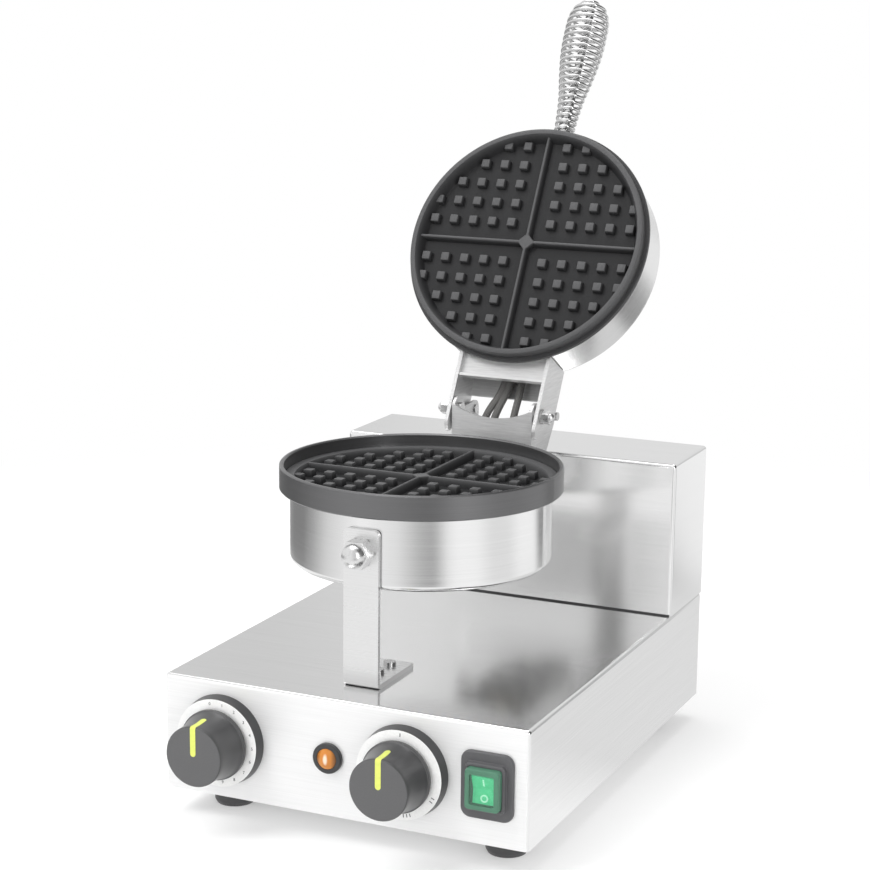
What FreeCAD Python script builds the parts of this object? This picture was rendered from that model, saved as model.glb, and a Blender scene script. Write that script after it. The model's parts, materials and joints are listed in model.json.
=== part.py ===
import FreeCAD
import Part
import Sketcher
import math
import os
from types import SimpleNamespace

# Round waffle maker on a folded steel base, with a lid that swings up and back. Millimetres.
# +Z is up, the controls face -Y, the feet stand on z = 0 and the lid is drawn open.

SIZES = [
    # Base
    ("front_reach", 190.481, "origin to the front face of the base"),
    ("base_width", 250.0, "base, left to right"),
    ("base_depth", 328.0, "base, front to rear"),
    ("base_height", 76.0, "folded part of the base"),
    ("sheet_gauge", 1.2, "steel sheet of the base and tower"),
    ("bend_radius", 2.5, "outer radius of the sheet's bends"),
    ("flange_width", 12.0, "turned-in flanges"),
    ("fit_gap", 0.3, "clearance round inset plates and seats"),
    ("foot_height", 18.0, "rubber feet"),
    ("foot_diameter", 27.0, "rubber feet"),
    ("foot_side_inset", 29.0, "foot centre to the side of the base"),
    ("foot_end_inset", 38.0, "foot centre to the front or rear of the base"),
    ("foot_bevel", 1.2, "lower edge of the feet"),
    ("head_room", 1.0, "hollow of a foot round its screw's head"),
    ("vent_length", 60.0, "slots of the bottom plate and the rear panel"),
    ("vent_width", 4.0, "slots of the bottom plate and the rear panel"),
    ("vent_pitch", 10.0, "slots of the bottom plate and the rear panel"),
    # Tower
    ("tower_depth", 69.0, "rear tower, front to rear"),
    ("tower_height", 108.0, "rear tower, above the base"),
    ("window_width", 26.0, "opening for the heater leads"),
    ("window_height", 22.0, "opening for the heater leads"),
    ("block_width", 34.0, "terminal block"),
    ("block_height", 27.0, "terminal block"),
    ("block_depth", 16.0, "terminal block"),
    ("gland_bore", 8.0, "cord gland"),
    ("gland_neck", 16.0, "cord gland"),
    ("gland_flange", 22.0, "cord gland"),
    ("gland_rim", 5.0, "thickness of the gland's flange and nut"),
    ("gland_taper", 4.0, "slope from the gland's flange to its neck"),
    ("gland_skin", 1.5, "membrane that closes the gland until a cord goes through"),
    # Screws
    ("screw_diameter", 4.0, "sheet metal screws"),
    ("screw_head", 8.0, "sheet metal screws"),
    ("screw_head_height", 2.4, "sheet metal screws"),
    ("screw_grip", 5.0, "screw length behind the sheets it joins"),
    ("dome_step", 0.6, "dome of a cap nut inside its flats"),
    ("hole_gap", 0.2, "clearance of a hole round its screw"),
    # Controls
    ("control_rise", 38.0, "control centres above the lower edge of the base"),
    ("timer_share", 0.334, "timer, left of the middle, as a share of the base's width"),
    ("lamp_share", 0.034, "lamp, left of the middle, as a share of the base's width"),
    ("thermostat_share", 0.172, "thermostat, right of the middle, as a share of the base's width"),
    ("switch_share", 0.394, "switch, right of the middle, as a share of the base's width"),
    ("dial_diameter", 59.0, "dial plates at the panel"),
    ("dial_face", 57.0, "dial plates at the front"),
    ("dial_thickness", 8.0, "dial plates"),
    ("bush_diameter", 10.0, "bush of the timer and the thermostat"),
    ("shaft_diameter", 6.0, "shaft of the timer and the thermostat"),
    ("running_gap", 0.05, "radial clearance of shafts and hinge bolts"),
    ("seat_gap", 0.02, "radial clearance of fixed fits"),
    ("control_square", 44.0, "timer and thermostat cases"),
    ("control_depth", 38.0, "timer and thermostat cases"),
    ("knob_gap", 2.5, "dial face to knob"),
    ("knob_skirt", 45.5, "knobs at the dial"),
    ("knob_front", 39.0, "knobs at the front"),
    ("knob_length", 26.0, "knobs"),
    ("knob_band", 3.5, "straight part of the knob's skirt"),
    ("knob_wall", 3.0, "knob shell"),
    ("knob_hub", 13.0, "knob hub round the shaft"),
    ("knob_round", 2.0, "front edge of the knob"),
    ("knob_shoulder", 0.8, "step above the knob's skirt"),
    ("lamp_bezel_diameter", 19.5, "pilot lamp"),
    ("lamp_bezel_height", 3.0, "pilot lamp"),
    ("lens_diameter", 13.0, "pilot lamp"),
    ("lens_height", 5.0, "pilot lamp"),
    ("lamp_barrel", 15.0, "pilot lamp"),
    ("lamp_depth", 22.0, "pilot lamp behind the panel"),
    ("lamp_round", 1.0, "front edge of the lamp's bezel"),
    ("switch_bezel_width", 34.2, "switch"),
    ("switch_bezel_height", 42.5, "switch"),
    ("switch_bezel_depth", 2.5, "switch"),
    ("switch_corner", 6.0, "switch"),
    ("frame_width", 26.0, "raised frame round the switch boot"),
    ("frame_height", 30.0, "raised frame round the switch boot"),
    ("frame_front", 6.0, "raised frame round the switch boot"),
    ("boot_width", 22.5, "clear boot of the switch"),
    ("boot_height", 25.8, "clear boot of the switch"),
    ("boot_front", 10.5, "clear boot of the switch"),
    ("boot_wall", 0.8, "clear boot of the switch"),
    ("boot_seat", 1.0, "switch case in front of the panel"),
    ("boot_round", 1.0, "front edges of the boot"),
    ("switch_depth", 28.0, "switch case behind the panel"),
    ("rocker_width", 15.0, "rocker"),
    ("rocker_height", 18.0, "rocker"),
    ("rocker_rise", 8.4, "rocker ends above its pivot"),
    ("rocker_dip", 1.8, "hollow of the rocker's face"),
    ("rocker_pivot", 1.5, "rocker pivot behind the panel face"),
    ("rocker_pin", 3.0, "rocker pivot pins"),
    ("rocker_tilt", 7.0, "rocker tilt either way, degrees"),
    ("rocker_skirt", 1.0, "rocker ends above its pivot, at the back"),
    ("rocker_room", 0.8, "recess round the tilting rocker"),
    ("pin_reach", 1.2, "rocker pins into the case"),
    # Lower half
    ("pan_standoff", 144.0, "pan centre before the front of the tower"),
    ("drum_clearance", 63.0, "base top to the drum"),
    ("drum_diameter", 170.0, "lower drum"),
    ("drum_height", 47.0, "lower drum"),
    ("drum_wall", 1.0, "both drums"),
    ("drum_round", 4.0, "closed edge of both drums"),
    ("rim_diameter", 184.0, "rim ring of the lower plate"),
    ("rim_band", 16.0, "rim ring of the lower plate"),
    ("rim_wall", 3.0, "rim ring of the lower plate"),
    ("rim_chamfer", 0.8, "edges of the rims"),
    ("ledge_depth", 8.0, "rim ring above the lower plate's ledge"),
    ("grid_diameter", 165.0, "grid cavities at the ledge and at the lid's rim"),
    ("grid_depth", 5.4, "lower grid below the ledge"),
    ("lid_grid_depth", 9.0, "upper grid below its rim"),
    ("grid_draft", 0.44, "inward slope of the cavity walls, as a share of their depth"),
    ("plate_depth", 16.0, "plates, from the ledge or rim to the underside"),
    ("stud_pitch", 14.8, "grid studs and the ribs between them"),
    ("stud_base", 7.2, "grid studs"),
    ("stud_height", 4.6, "grid studs"),
    ("stud_draft", 8.0, "slope of the studs, degrees"),
    ("rib_base", 4.6, "cross ribs"),
    ("rib_top", 1.8, "cross ribs"),
    ("rib_height", 5.4, "cross ribs"),
    ("hub_diagonal", 13.0, "diamond where the ribs cross"),
    ("ring_diameter", 116.0, "heating elements"),
    ("tube_diameter", 6.5, "heating elements"),
    ("terminal_spread", 16.0, "heating element terminals"),
    ("terminal_diameter", 5.0, "heating element terminals"),
    ("terminal_length", 16.6, "lower heating element terminals"),
    ("lid_terminal_length", 7.4, "upper heating element terminals"),
    ("clamp_diameter", 132.0, "clamp plates of the elements"),
    ("clamp_gauge", 1.5, "clamp plates of the elements"),
    ("element_gap", 0.1, "element to plate and clamp"),
    ("insulation_diameter", 142.0, "insulation discs"),
    ("insulation_height", 14.0, "insulation discs"),
    # Front strap
    ("strap_width", 24.0, "front strap"),
    ("strap_gauge", 3.0, "front strap"),
    ("strap_foot", 49.0, "foot of the front strap"),
    ("strap_drop", 8.0, "top of the strap below the drum's rim"),
    ("strap_corner", 3.5, "top corners of the strap"),
    ("strap_bend", 1.0, "inner bend of the strap"),
    ("stud_drop", 22.5, "strap stud below the drum's rim"),
    ("foot_screw_pitch", 17.0, "screws of the strap's foot"),
    ("foot_screw_inset", 10.0, "screws of the strap's foot"),
    ("bolt_diameter", 8.0, "strap stud"),
    ("nut_width", 17.0, "cap nut of the strap, across flats"),
    ("nut_height", 9.0, "cap nut of the strap, flats only"),
    ("nut_washer", 1.0, "washer of the strap"),
    ("nut_washer_rim", 0.5, "washer of the strap outside the nut's flats"),
    ("stud_head", 4.0, "head of the strap stud inside the drum"),
    ("stud_head_width", 11.0, "head of the strap stud inside the drum, across flats"),
    # Hinge
    ("hinge_setback", 123.0, "hinge axis behind the pan centre"),
    ("hinge_rise", 11.0, "hinge axis above the lower plate's rim"),
    ("open_angle", 120.0, "lid swing, degrees"),
    ("hinge_bolt", 5.0, "hinge bolts"),
    ("hinge_head", 9.0, "hinge bolt heads"),
    ("hinge_nut", 8.5, "hinge cap nuts, across flats"),
    ("hinge_nut_height", 5.0, "hinge cap nuts, flats only"),
    ("washer_diameter", 10.5, "hinge washers"),
    ("washer_gap", 0.2, "hinge washers to the moving cheeks"),
    ("outer_washer", 1.0, "hinge washers under the nuts"),
    ("lower_span", 60.0, "lower bracket over its cheeks"),
    ("lower_gauge", 2.0, "lower bracket"),
    ("lower_ear", 9.0, "radius of the lower cheeks round the bolt"),
    ("lower_drop", 60.0, "lower bracket below the hinge axis"),
    ("wing_drop", 32.0, "top of the lower bracket's wings below the axis"),
    ("panel_offset", 8.0, "lower bracket's front panel before the axis"),
    ("panel_dip", 7.0, "hollow in the panel's top edge"),
    ("saddle_gap", 0.1, "brackets to the drums they are welded to"),
    ("stop_reach", 10.0, "stop pins along the open lid from the axis"),
    ("stop_diameter", 6.0, "stop pins"),
    ("stop_margin", 3.0, "bracket edge round the stop pins"),
    ("stop_overhang", 1.0, "stop pins past the cheeks"),
    ("tower_lift", 1.0, "lower cheeks' ears above the tower"),
    ("bracket_screw_lift", 2.0, "upper bracket screws above the upper leads"),
    ("upper_span", 68.0, "upper bracket over its cheeks"),
    ("upper_gauge", 2.5, "upper bracket's cheeks"),
    ("upper_rise", 24.0, "upper bracket's top edge above the axis"),
    ("upper_ear", 7.0, "upper cheeks below the axis"),
    ("upper_heel", 17.0, "upper cheeks behind the axis"),
    ("web_gauge", 2.0, "upper bracket's web, shelf and saddle"),
    ("web_end", 18.0, "rear edge of the web before the axis"),
    ("shelf_drop", 3.0, "underside of the shelf below the axis"),
    ("shelf_end", 23.0, "rear edge of the shelf before the axis"),
    ("shelf_lip", 3.0, "turned-down edge of the shelf"),
    # Leads
    ("lead_diameter", 5.2, "sleeved heater leads"),
    ("lead_rise", 15.0, "upper leads above the axis at the lid"),
    ("lead_drop", 42.0, "upper leads below the axis at the tower"),
    ("lower_lead_drop", 52.0, "lower leads below the axis"),
    ("lead_inside", 8.0, "upper leads inside the lid drum"),
    ("core_diameter", 3.2, "wire holes of the terminal block"),
    # Lid
    ("closing_gap", 0.4, "closed lid to the lower plate"),
    ("nest_gap", 3.0, "lid rim inside the lower rim"),
    ("lid_flange", 2.8, "upper plate's flange beyond its rim"),
    ("lid_stand", 3.0, "lid drum above the closed lower ring"),
    ("lid_drum_diameter", 174.0, "upper drum"),
    ("lid_drum_height", 35.0, "upper drum"),
    # Handle
    ("handle_rise", 17.6, "handle above the upper plate's flange"),
    ("handle_length", 116.0, "handle from the drum to its tip"),
    ("handle_root", 15.0, "coil at the drum"),
    ("handle_bulge", 32.0, "coil at its widest"),
    ("handle_turns", 22.0, "turns of the coil"),
    ("wire_diameter", 2.5, "coil wire"),
    ("rod_diameter", 6.0, "rod inside the coil"),
    ("rod_nut", 12.0, "nut of the rod inside the drum"),
    ("rod_nut_height", 5.0, "nut of the rod inside the drum"),
    ("ferrule_width", 16.0, "ferrule, across flats"),
    ("ferrule_height", 7.0, "ferrule"),
    ("spigot_length", 9.0, "round end of the ferrule"),
]

# Shape of the coil's outline, as shares of the handle's length
COIL_BULGE_AT = 0.76
COIL_CLOSE_AT = 0.86
COIL_SWELL = 1.2
COIL_SIDES_PER_TURN = 14

LEAD_PLACES = (-8.0, -1.5, 8.0)
LEAD_FALL = 0.3
KNEE_BEND = 6
HEEL_BEND = 3
DOME_RISE = 0.9
SLOT_ROWS = (-3, -2, -1, 0, 1, 2, 3)
STUD_ROWS = 5


class Size:
    """A size as a number and as the sheet expression that gives it."""

    def __init__(self, value, text):
        self.value = value
        self.text = text

    def __add__(self, other):
        other = as_size(other)
        return Size(self.value + other.value, "(%s + %s)" % (self.text, other.text))

    def __sub__(self, other):
        other = as_size(other)
        return Size(self.value - other.value, "(%s - %s)" % (self.text, other.text))

    def __mul__(self, other):
        other = as_size(other)
        return Size(self.value * other.value, "(%s * %s)" % (self.text, other.text))

    def __truediv__(self, other):
        other = as_size(other)
        return Size(self.value / other.value, "(%s / %s)" % (self.text, other.text))

    def __radd__(self, other):
        return as_size(other) + self

    def __rsub__(self, other):
        return as_size(other) - self

    def __rmul__(self, other):
        return as_size(other) * self

    def __neg__(self):
        return Size(-self.value, "(-1 * %s)" % self.text)


def as_size(item):
    """Wrap a plain number."""
    return item if isinstance(item, Size) else Size(float(item), repr(float(item)))


def root(size):
    """Square root of a size."""
    return Size(math.sqrt(size.value), "sqrt(%s)" % size.text)


def chord_reach(radius, x):
    """Distance from a circle's middle to the point above x on it."""
    return root(radius * radius - x * x)


doc = FreeCAD.newDocument("waffle_maker")
sheet = doc.addObject("Spreadsheet::Sheet", "sizes")
for row, (alias, value, note) in enumerate(SIZES, start=1):
    sheet.set("A%d" % row, note)
    sheet.set("B%d" % row, str(value))
    sheet.setAlias("B%d" % row, alias)
doc.recompute()
s = SimpleNamespace(**{alias: Size(value, "sizes." + alias) for alias, value, note in SIZES})

# Places that several pieces share
front = -s.front_reach
rear = front + s.base_depth
base_mid = front + s.base_depth / 2
base_top = s.foot_height + s.base_height
tower_front = rear - s.tower_depth
tower_top = base_top + s.tower_height
control_z = s.foot_height + s.control_rise
timer_x = -s.base_width * s.timer_share
lamp_x = -s.base_width * s.lamp_share
thermostat_x = s.base_width * s.thermostat_share
switch_x = s.base_width * s.switch_share
pan_y = tower_front - s.pan_standoff
drum_floor = base_top + s.drum_clearance
drum_top = drum_floor + s.drum_height
rim_z = drum_top + s.rim_band
grid_z = rim_z - s.ledge_depth - s.grid_depth
plate_z = rim_z - s.ledge_depth - s.plate_depth
lid_rim_z = rim_z - s.ledge_depth + s.closing_gap
lid_grid_z = lid_rim_z + s.lid_grid_depth
lid_plate_z = lid_rim_z + s.plate_depth
lid_seat_z = rim_z + s.closing_gap + s.lid_stand
lid_top_z = lid_seat_z + s.lid_drum_height
hinge_y = pan_y + s.hinge_setback
hinge_z = rim_z + s.hinge_rise
drum_r = s.drum_diameter / 2
lid_drum_r = s.lid_drum_diameter / 2
handle_z = lid_seat_z + s.handle_rise
lead_z = hinge_z - s.lead_drop
lower_lead_z = hinge_z - s.lower_lead_drop
window_mid = (lead_z + lower_lead_z) / 2

FORWARD = FreeCAD.Rotation(FreeCAD.Vector(1, 0, 0), 90)
BACKWARD = FreeCAD.Rotation(FreeCAD.Vector(1, 0, 0), -90)
FLIPPED = FreeCAD.Rotation(FreeCAD.Vector(1, 0, 0), 180)
UPRIGHT = FreeCAD.Rotation()
HINGE = FreeCAD.Vector(0, hinge_y.value, hinge_z.value)
LID_OPEN = FreeCAD.Placement(
    FreeCAD.Vector(), FreeCAD.Rotation(FreeCAD.Vector(1, 0, 0), -s.open_angle.value), HINGE)

pieces = []


# Helpers for bodies, sketches and features


def body(label):
    """A new sub-part."""
    part = doc.addObject("PartDesign::Body", label)
    part.Label = label
    pieces.append(part)
    return part


def bind(item, path, size):
    """Tie a property to the sheet."""
    item.setExpression(path, as_size(size).text)


def place(part, x=0, y=0, z=0, turn=UPRIGHT):
    """Put a sub-part of the fixed half in place."""
    spot = FreeCAD.Vector(as_size(x).value, as_size(y).value, as_size(z).value)
    part.Placement = FreeCAD.Placement(spot, turn)
    bind(part, "Placement.Base.x", x)
    bind(part, "Placement.Base.y", y)
    bind(part, "Placement.Base.z", z)


def place_on_lid(part, x=0, y=0, z=0, turn=UPRIGHT):
    """Put a sub-part, given where it is on the closed lid, on the open lid."""
    spot = FreeCAD.Vector(as_size(x).value, as_size(y).value, as_size(z).value)
    part.Placement = LID_OPEN.multiply(FreeCAD.Placement(spot, turn))


def sketch(part, plane, offset=0):
    """A sketch on one of the body's own planes, moved along the plane's normal."""
    plan = part.newObject("Sketcher::SketchObject", part.Label + "_sketch")
    datum = [item for item in part.Origin.OriginFeatures if item.Role == plane + "_Plane"]
    plan.AttachmentSupport = [(datum[0], "")]
    plan.MapMode = "FlatFace"
    bind(plan, "AttachmentOffset.Base.z", offset)
    return plan


def pin_point(plan, rules, geo, end, x, y):
    """Hold a point of a sketch at a place given by sizes."""
    for kind, axis, size in (("DistanceX", -2, x), ("DistanceY", -1, y)):
        if size.value == 0:
            plan.addConstraint(Sketcher.Constraint("PointOnObject", geo, end, axis))
            continue
        index = plan.addConstraint(Sketcher.Constraint(kind, -1, 1, geo, end, size.value))
        rules.append((index, size))


def outline(plan, points):
    """A closed outline; a third value makes the edge to that point an arc (minus: clockwise)."""
    rules = []
    corners = [(as_size(point[0]), as_size(point[1])) for point in points]
    bends = [as_size(point[2]) if len(point) > 2 else None for point in points]
    edges = []
    for index, (x, y) in enumerate(corners):
        x_from, y_from = corners[index - 1]
        start = FreeCAD.Vector(x_from.value, y_from.value, 0)
        end = FreeCAD.Vector(x.value, y.value, 0)
        bend = bends[index]
        if bend is None:
            geo = plan.addGeometry(Part.LineSegment(start, end), False)
            edges.append((geo, 1, 2))
            continue
        geo = plan.addGeometry(arc_between(start, end, bend.value), False)
        edges.append((geo, 1, 2) if bend.value > 0 else (geo, 2, 1))
        rule = plan.addConstraint(Sketcher.Constraint("Radius", geo, abs(bend.value)))
        rules.append((rule, bend if bend.value > 0 else -bend))
    for index, (geo, first, last) in enumerate(edges):
        following = edges[(index + 1) % len(edges)]
        plan.addConstraint(Sketcher.Constraint("Coincident", geo, last, following[0], following[1]))
        pin_point(plan, rules, geo, last, *corners[index])
    for index, size in rules:
        plan.setExpression("Constraints[%d]" % index, size.text)


def arc_between(start, end, radius):
    """The shorter arc from start to end; a minus radius runs clockwise."""
    if radius < 0:
        start, end = end, start
    half = (end - start) * 0.5
    rise = math.sqrt(max(radius * radius - half.Length ** 2, 0))
    left = FreeCAD.Vector(-half.y, half.x, 0).normalize()
    middle = start + half + left * rise
    circle = Part.Circle(middle, FreeCAD.Vector(0, 0, 1), abs(radius))
    begin = math.atan2(start.y - middle.y, start.x - middle.x)
    finish = math.atan2(end.y - middle.y, end.x - middle.x)
    return Part.ArcOfCircle(circle, begin, finish if finish > begin else finish + 2 * math.pi)


def box_outline(plan, x_low, x_high, y_low, y_high):
    """A rectangle."""
    outline(plan, [(x_low, y_low), (x_high, y_low), (x_high, y_high), (x_low, y_high)])


def round_box_outline(plan, width, height, corner):
    """A rectangle about the sketch's middle, with round corners."""
    x = as_size(width) / 2
    y = as_size(height) / 2
    outline(plan, [
        (x - corner, -y), (x, corner - y, corner), (x, y - corner), (x - corner, y, corner),
        (corner - x, y), (-x, y - corner, corner), (-x, corner - y), (corner - x, -y, corner)])


def circle(plan, x, y, radius):
    """A circle."""
    x, y, radius = as_size(x), as_size(y), as_size(radius)
    middle = FreeCAD.Vector(x.value, y.value, 0)
    geo = plan.addGeometry(Part.Circle(middle, FreeCAD.Vector(0, 0, 1), radius.value), False)
    rules = []
    pin_point(plan, rules, geo, 3, x, y)
    rules.append((plan.addConstraint(Sketcher.Constraint("Radius", geo, radius.value)), radius))
    for index, size in rules:
        plan.setExpression("Constraints[%d]" % index, size.text)


def hexagon(plan, x, y, across):
    """A hexagon given across its flats."""
    half = as_size(across) / 2
    point = half * (2 / math.sqrt(3))
    x, y = as_size(x), as_size(y)
    outline(plan, [
        (x + point, y), (x + point / 2, y + half), (x - point / 2, y + half),
        (x - point, y), (x - point / 2, y - half), (x + point / 2, y - half)])


def pad(part, plan, length, both_ways=False, reverse=False):
    """Add the outline's prism."""
    feature = part.newObject("PartDesign::Pad", part.Label + "_pad")
    feature.Profile = plan
    bind(feature, "Length", length)
    feature.SideType = "Symmetric" if both_ways else "One side"
    feature.Reversed = reverse
    return feature


def pocket(part, plan, length, both_ways=False, reverse=False):
    """Cut the outline's prism; against the plane's normal unless reversed."""
    feature = part.newObject("PartDesign::Pocket", part.Label + "_pocket")
    feature.Profile = plan
    bind(feature, "Length", length)
    feature.SideType = "Symmetric" if both_ways else "One side"
    feature.Reversed = reverse
    return feature


def turn(part, points):
    """Add the outline in x and z turned about the body's Z axis."""
    plan = sketch(part, "XZ")
    outline(plan, points)
    feature = part.newObject("PartDesign::Revolution", part.Label + "_turn")
    feature.Profile = plan
    feature.ReferenceAxis = (plan, ["V_Axis"])
    feature.Angle = 360
    return feature


def mirror(part, features):
    """Repeat features on the other side of the YZ plane."""
    datum = [item for item in part.Origin.OriginFeatures if item.Role == "YZ_Plane"]
    feature = part.newObject("PartDesign::Mirrored", part.Label + "_mirror")
    feature.Originals = features
    feature.MirrorPlane = (datum[0], [""])
    part.Tip = feature
    return feature


def round_edges(part, feature, radius, wanted):
    """Fillet the edges of a feature whose middles the test accepts."""
    doc.recompute()
    names = []
    for index, edge in enumerate(feature.Shape.Edges, start=1):
        if wanted(edge.CenterOfMass):
            names.append("Edge%d" % index)
    fillet = part.newObject("PartDesign::Fillet", part.Label + "_fillet")
    fillet.Base = (feature, names)
    bind(fillet, "Radius", radius)
    return fillet


def screws(label, spots, grip, head=None, nut=None):
    """A group of screws along Z, heads up on z = 0; a nut may close each one below."""
    part = body(label)
    plan = sketch(part, "XY")
    for x, y in spots:
        circle(plan, x, y, (head or s.screw_head) / 2)
    pad(part, plan, s.screw_head_height)
    plan = sketch(part, "XY")
    for x, y in spots:
        circle(plan, x, y, s.screw_diameter / 2)
    pad(part, plan, grip + s.screw_grip, reverse=True)
    if nut is not None:
        plan = sketch(part, "XY", -grip)
        for x, y in spots:
            hexagon(plan, x, y, nut)
        pad(part, plan, s.screw_head_height, reverse=True)
    return part


# Base and feet

foot_x = s.base_width / 2 - s.foot_side_inset
foot_ys = (front + s.foot_end_inset, rear - s.foot_end_inset)
foot_spots = [(x, y) for y in foot_ys for x in (-foot_x, foot_x)]
inner_half = s.base_width / 2 - s.sheet_gauge
flange_inner = inner_half - s.flange_width
side_flanges = ((-inner_half, -flange_inner), (flange_inner, inner_half))
plate_screw_x = inner_half - s.flange_width / 2
plate_screw_ys = (base_mid - s.base_depth / 4, base_mid + s.base_depth / 4)
plate_screw_spots = [(x, y) for x in (-plate_screw_x, plate_screw_x) for y in plate_screw_ys]
screw_hole = s.screw_diameter / 2 + s.hole_gap
strap_back = pan_y - drum_r - s.saddle_gap
strap_foot_rear = strap_back + s.strap_foot
foot_screw_ys = (
    strap_foot_rear - s.foot_screw_inset, strap_foot_rear - s.foot_screw_inset - s.foot_screw_pitch)
tower_screw_y = tower_front + s.sheet_gauge + s.flange_width / 2
tower_screw_spots = [(x, tower_screw_y) for x in (-s.base_width / 3, s.base_width / 3)]


def base_housing():
    """Folded box, open below, with turned-in side flanges and the control holes."""
    part = body("base_housing")
    half = s.base_width / 2
    plan = sketch(part, "XY", s.foot_height)
    box_outline(plan, -half, half, front, rear)
    block = pad(part, plan, s.base_height)
    round_edges(part, block, s.bend_radius, lambda middle: middle.z > s.foot_height.value + 1)
    plan = sketch(part, "XY", s.foot_height)
    box_outline(plan, -inner_half, inner_half, front + s.sheet_gauge, rear - s.sheet_gauge)
    pocket(part, plan, s.base_height - s.sheet_gauge, reverse=True)
    plan = sketch(part, "XY", s.foot_height + s.sheet_gauge)
    for x_low, x_high in side_flanges:
        box_outline(plan, x_low, x_high, front + s.sheet_gauge, rear - s.sheet_gauge)
    pad(part, plan, s.sheet_gauge)
    plan = sketch(part, "XY", s.foot_height + s.sheet_gauge)
    for x, y in plate_screw_spots:
        circle(plan, x, y, screw_hole)
    pocket(part, plan, s.sheet_gauge, reverse=True)
    plan = sketch(part, "XY", base_top)
    for y in foot_screw_ys:
        circle(plan, 0, y, screw_hole)
    for x, y in tower_screw_spots:
        circle(plan, x, y, screw_hole)
    box_outline(
        plan, -s.base_width / 4, s.base_width / 4,
        tower_screw_y + s.flange_width, rear - s.flange_width)
    pocket(part, plan, s.sheet_gauge)
    plan = sketch(part, "XZ", -front)
    circle(plan, timer_x, control_z, s.bush_diameter / 2 + s.fit_gap)
    circle(plan, thermostat_x, control_z, s.bush_diameter / 2 + s.fit_gap)
    circle(plan, lamp_x, control_z, s.lamp_barrel / 2 + s.fit_gap)
    half_x = s.boot_width / 2 + s.fit_gap
    half_z = s.boot_height / 2 + s.fit_gap
    box_outline(
        plan, switch_x - half_x, switch_x + half_x, control_z - half_z, control_z + half_z)
    pocket(part, plan, s.sheet_gauge)


def bottom_plate():
    """Flat closing plate with vent slots, held by the feet screws and the flange screws."""
    part = body("bottom_plate")
    half = inner_half - s.fit_gap
    edge = s.sheet_gauge + s.fit_gap
    plan = sketch(part, "XY", s.foot_height)
    box_outline(plan, -half, half, front + edge, rear - edge)
    pad(part, plan, s.sheet_gauge)
    plan = sketch(part, "XY", s.foot_height)
    for x, y in foot_spots + plate_screw_spots:
        circle(plan, x, y, screw_hole)
    for index in SLOT_ROWS:
        y = base_mid + index * s.vent_pitch
        box_outline(
            plan, -s.vent_length / 2, s.vent_length / 2, y - s.vent_width / 2, y + s.vent_width / 2)
    pocket(part, plan, s.sheet_gauge, reverse=True)


def bottom_plate_screws():
    """Screws up through the bottom plate into the flanges."""
    spots = [(x, -y) for x, y in plate_screw_spots]
    place(screws("bottom_plate_screws", spots, s.sheet_gauge * 2), 0, 0, s.foot_height, FLIPPED)


def foot(label, x, y):
    """Round rubber foot with a hollow for its screw's head."""
    part = body(label)
    outer = s.foot_diameter / 2
    hollow = s.screw_head / 2 + s.head_room
    turn(part, [
        (hollow, 0), (outer - s.foot_bevel, 0), (outer, s.foot_bevel * 2), (outer, s.foot_height),
        (screw_hole, s.foot_height), (screw_hole, s.foot_height / 2), (hollow, s.foot_height / 2)])
    place(part, x, y)


def feet():
    """Four feet, named by corner."""
    names = ("foot_front_left", "foot_front_right", "foot_rear_left", "foot_rear_right")
    for name, (x, y) in zip(names, foot_spots):
        foot(name, x, y)


def foot_screws():
    """Screws up through the feet and the bottom plate, with nuts inside."""
    spots = [(x, -y) for x, y in foot_spots]
    grip = s.foot_height / 2 + s.sheet_gauge
    part = screws("foot_screws", spots, grip, nut=s.screw_head)
    place(part, 0, 0, s.foot_height / 2, FLIPPED)


# Tower

panel_half = inner_half - s.fit_gap
panel_screw_spots = [
    (x, z) for x in (-plate_screw_x, plate_screw_x)
    for z in (base_top + s.tower_height / 5, base_top + s.tower_height * 4 / 5)]
gland_x = s.base_width / 3
gland_z = base_top + s.tower_height / 2
bracket_screw_x = s.lower_span / 2 - s.lower_gauge - s.screw_head / 2 - s.fit_gap
bracket_screw_z = lead_z + s.bracket_screw_lift
bracket_screw_spots = [
    (x, z) for x in (-bracket_screw_x, bracket_screw_x) for z in (bracket_screw_z, lower_lead_z)]


def tower_shell():
    """Folded hood, open at the rear and below, with flanges and the lead window."""
    part = body("tower_shell")
    half = s.base_width / 2
    plan = sketch(part, "XY", base_top)
    box_outline(plan, -half, half, tower_front, rear)
    block = pad(part, plan, s.tower_height)
    round_edges(
        part, block, s.bend_radius,
        lambda middle: middle.z > base_top.value + 1 and middle.y < rear.value - 1)
    plan = sketch(part, "XZ", -rear)
    box_outline(plan, -inner_half, inner_half, base_top, tower_top - s.sheet_gauge)
    pocket(part, plan, s.tower_depth - s.sheet_gauge, reverse=True)
    plan = sketch(part, "XY", base_top)
    low = tower_front + s.sheet_gauge
    box_outline(plan, -inner_half, inner_half, low, low + s.flange_width)
    pad(part, plan, s.sheet_gauge)
    plan = sketch(part, "XZ", s.sheet_gauge - rear)
    for x_low, x_high in side_flanges:
        box_outline(plan, x_low, x_high, base_top, tower_top - s.sheet_gauge)
    pad(part, plan, s.sheet_gauge)
    plan = sketch(part, "XZ", s.sheet_gauge - rear)
    for x, z in panel_screw_spots:
        circle(plan, x, z, screw_hole)
    pocket(part, plan, s.sheet_gauge, reverse=True)
    plan = sketch(part, "XY", base_top)
    for x, y in tower_screw_spots:
        circle(plan, x, y, screw_hole)
    pocket(part, plan, s.sheet_gauge, reverse=True)
    plan = sketch(part, "XZ", -tower_front)
    box_outline(
        plan, -s.window_width / 2, s.window_width / 2,
        window_mid - s.window_height / 2, window_mid + s.window_height / 2)
    for x, z in bracket_screw_spots:
        circle(plan, x, z, screw_hole)
    pocket(part, plan, s.sheet_gauge)


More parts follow.
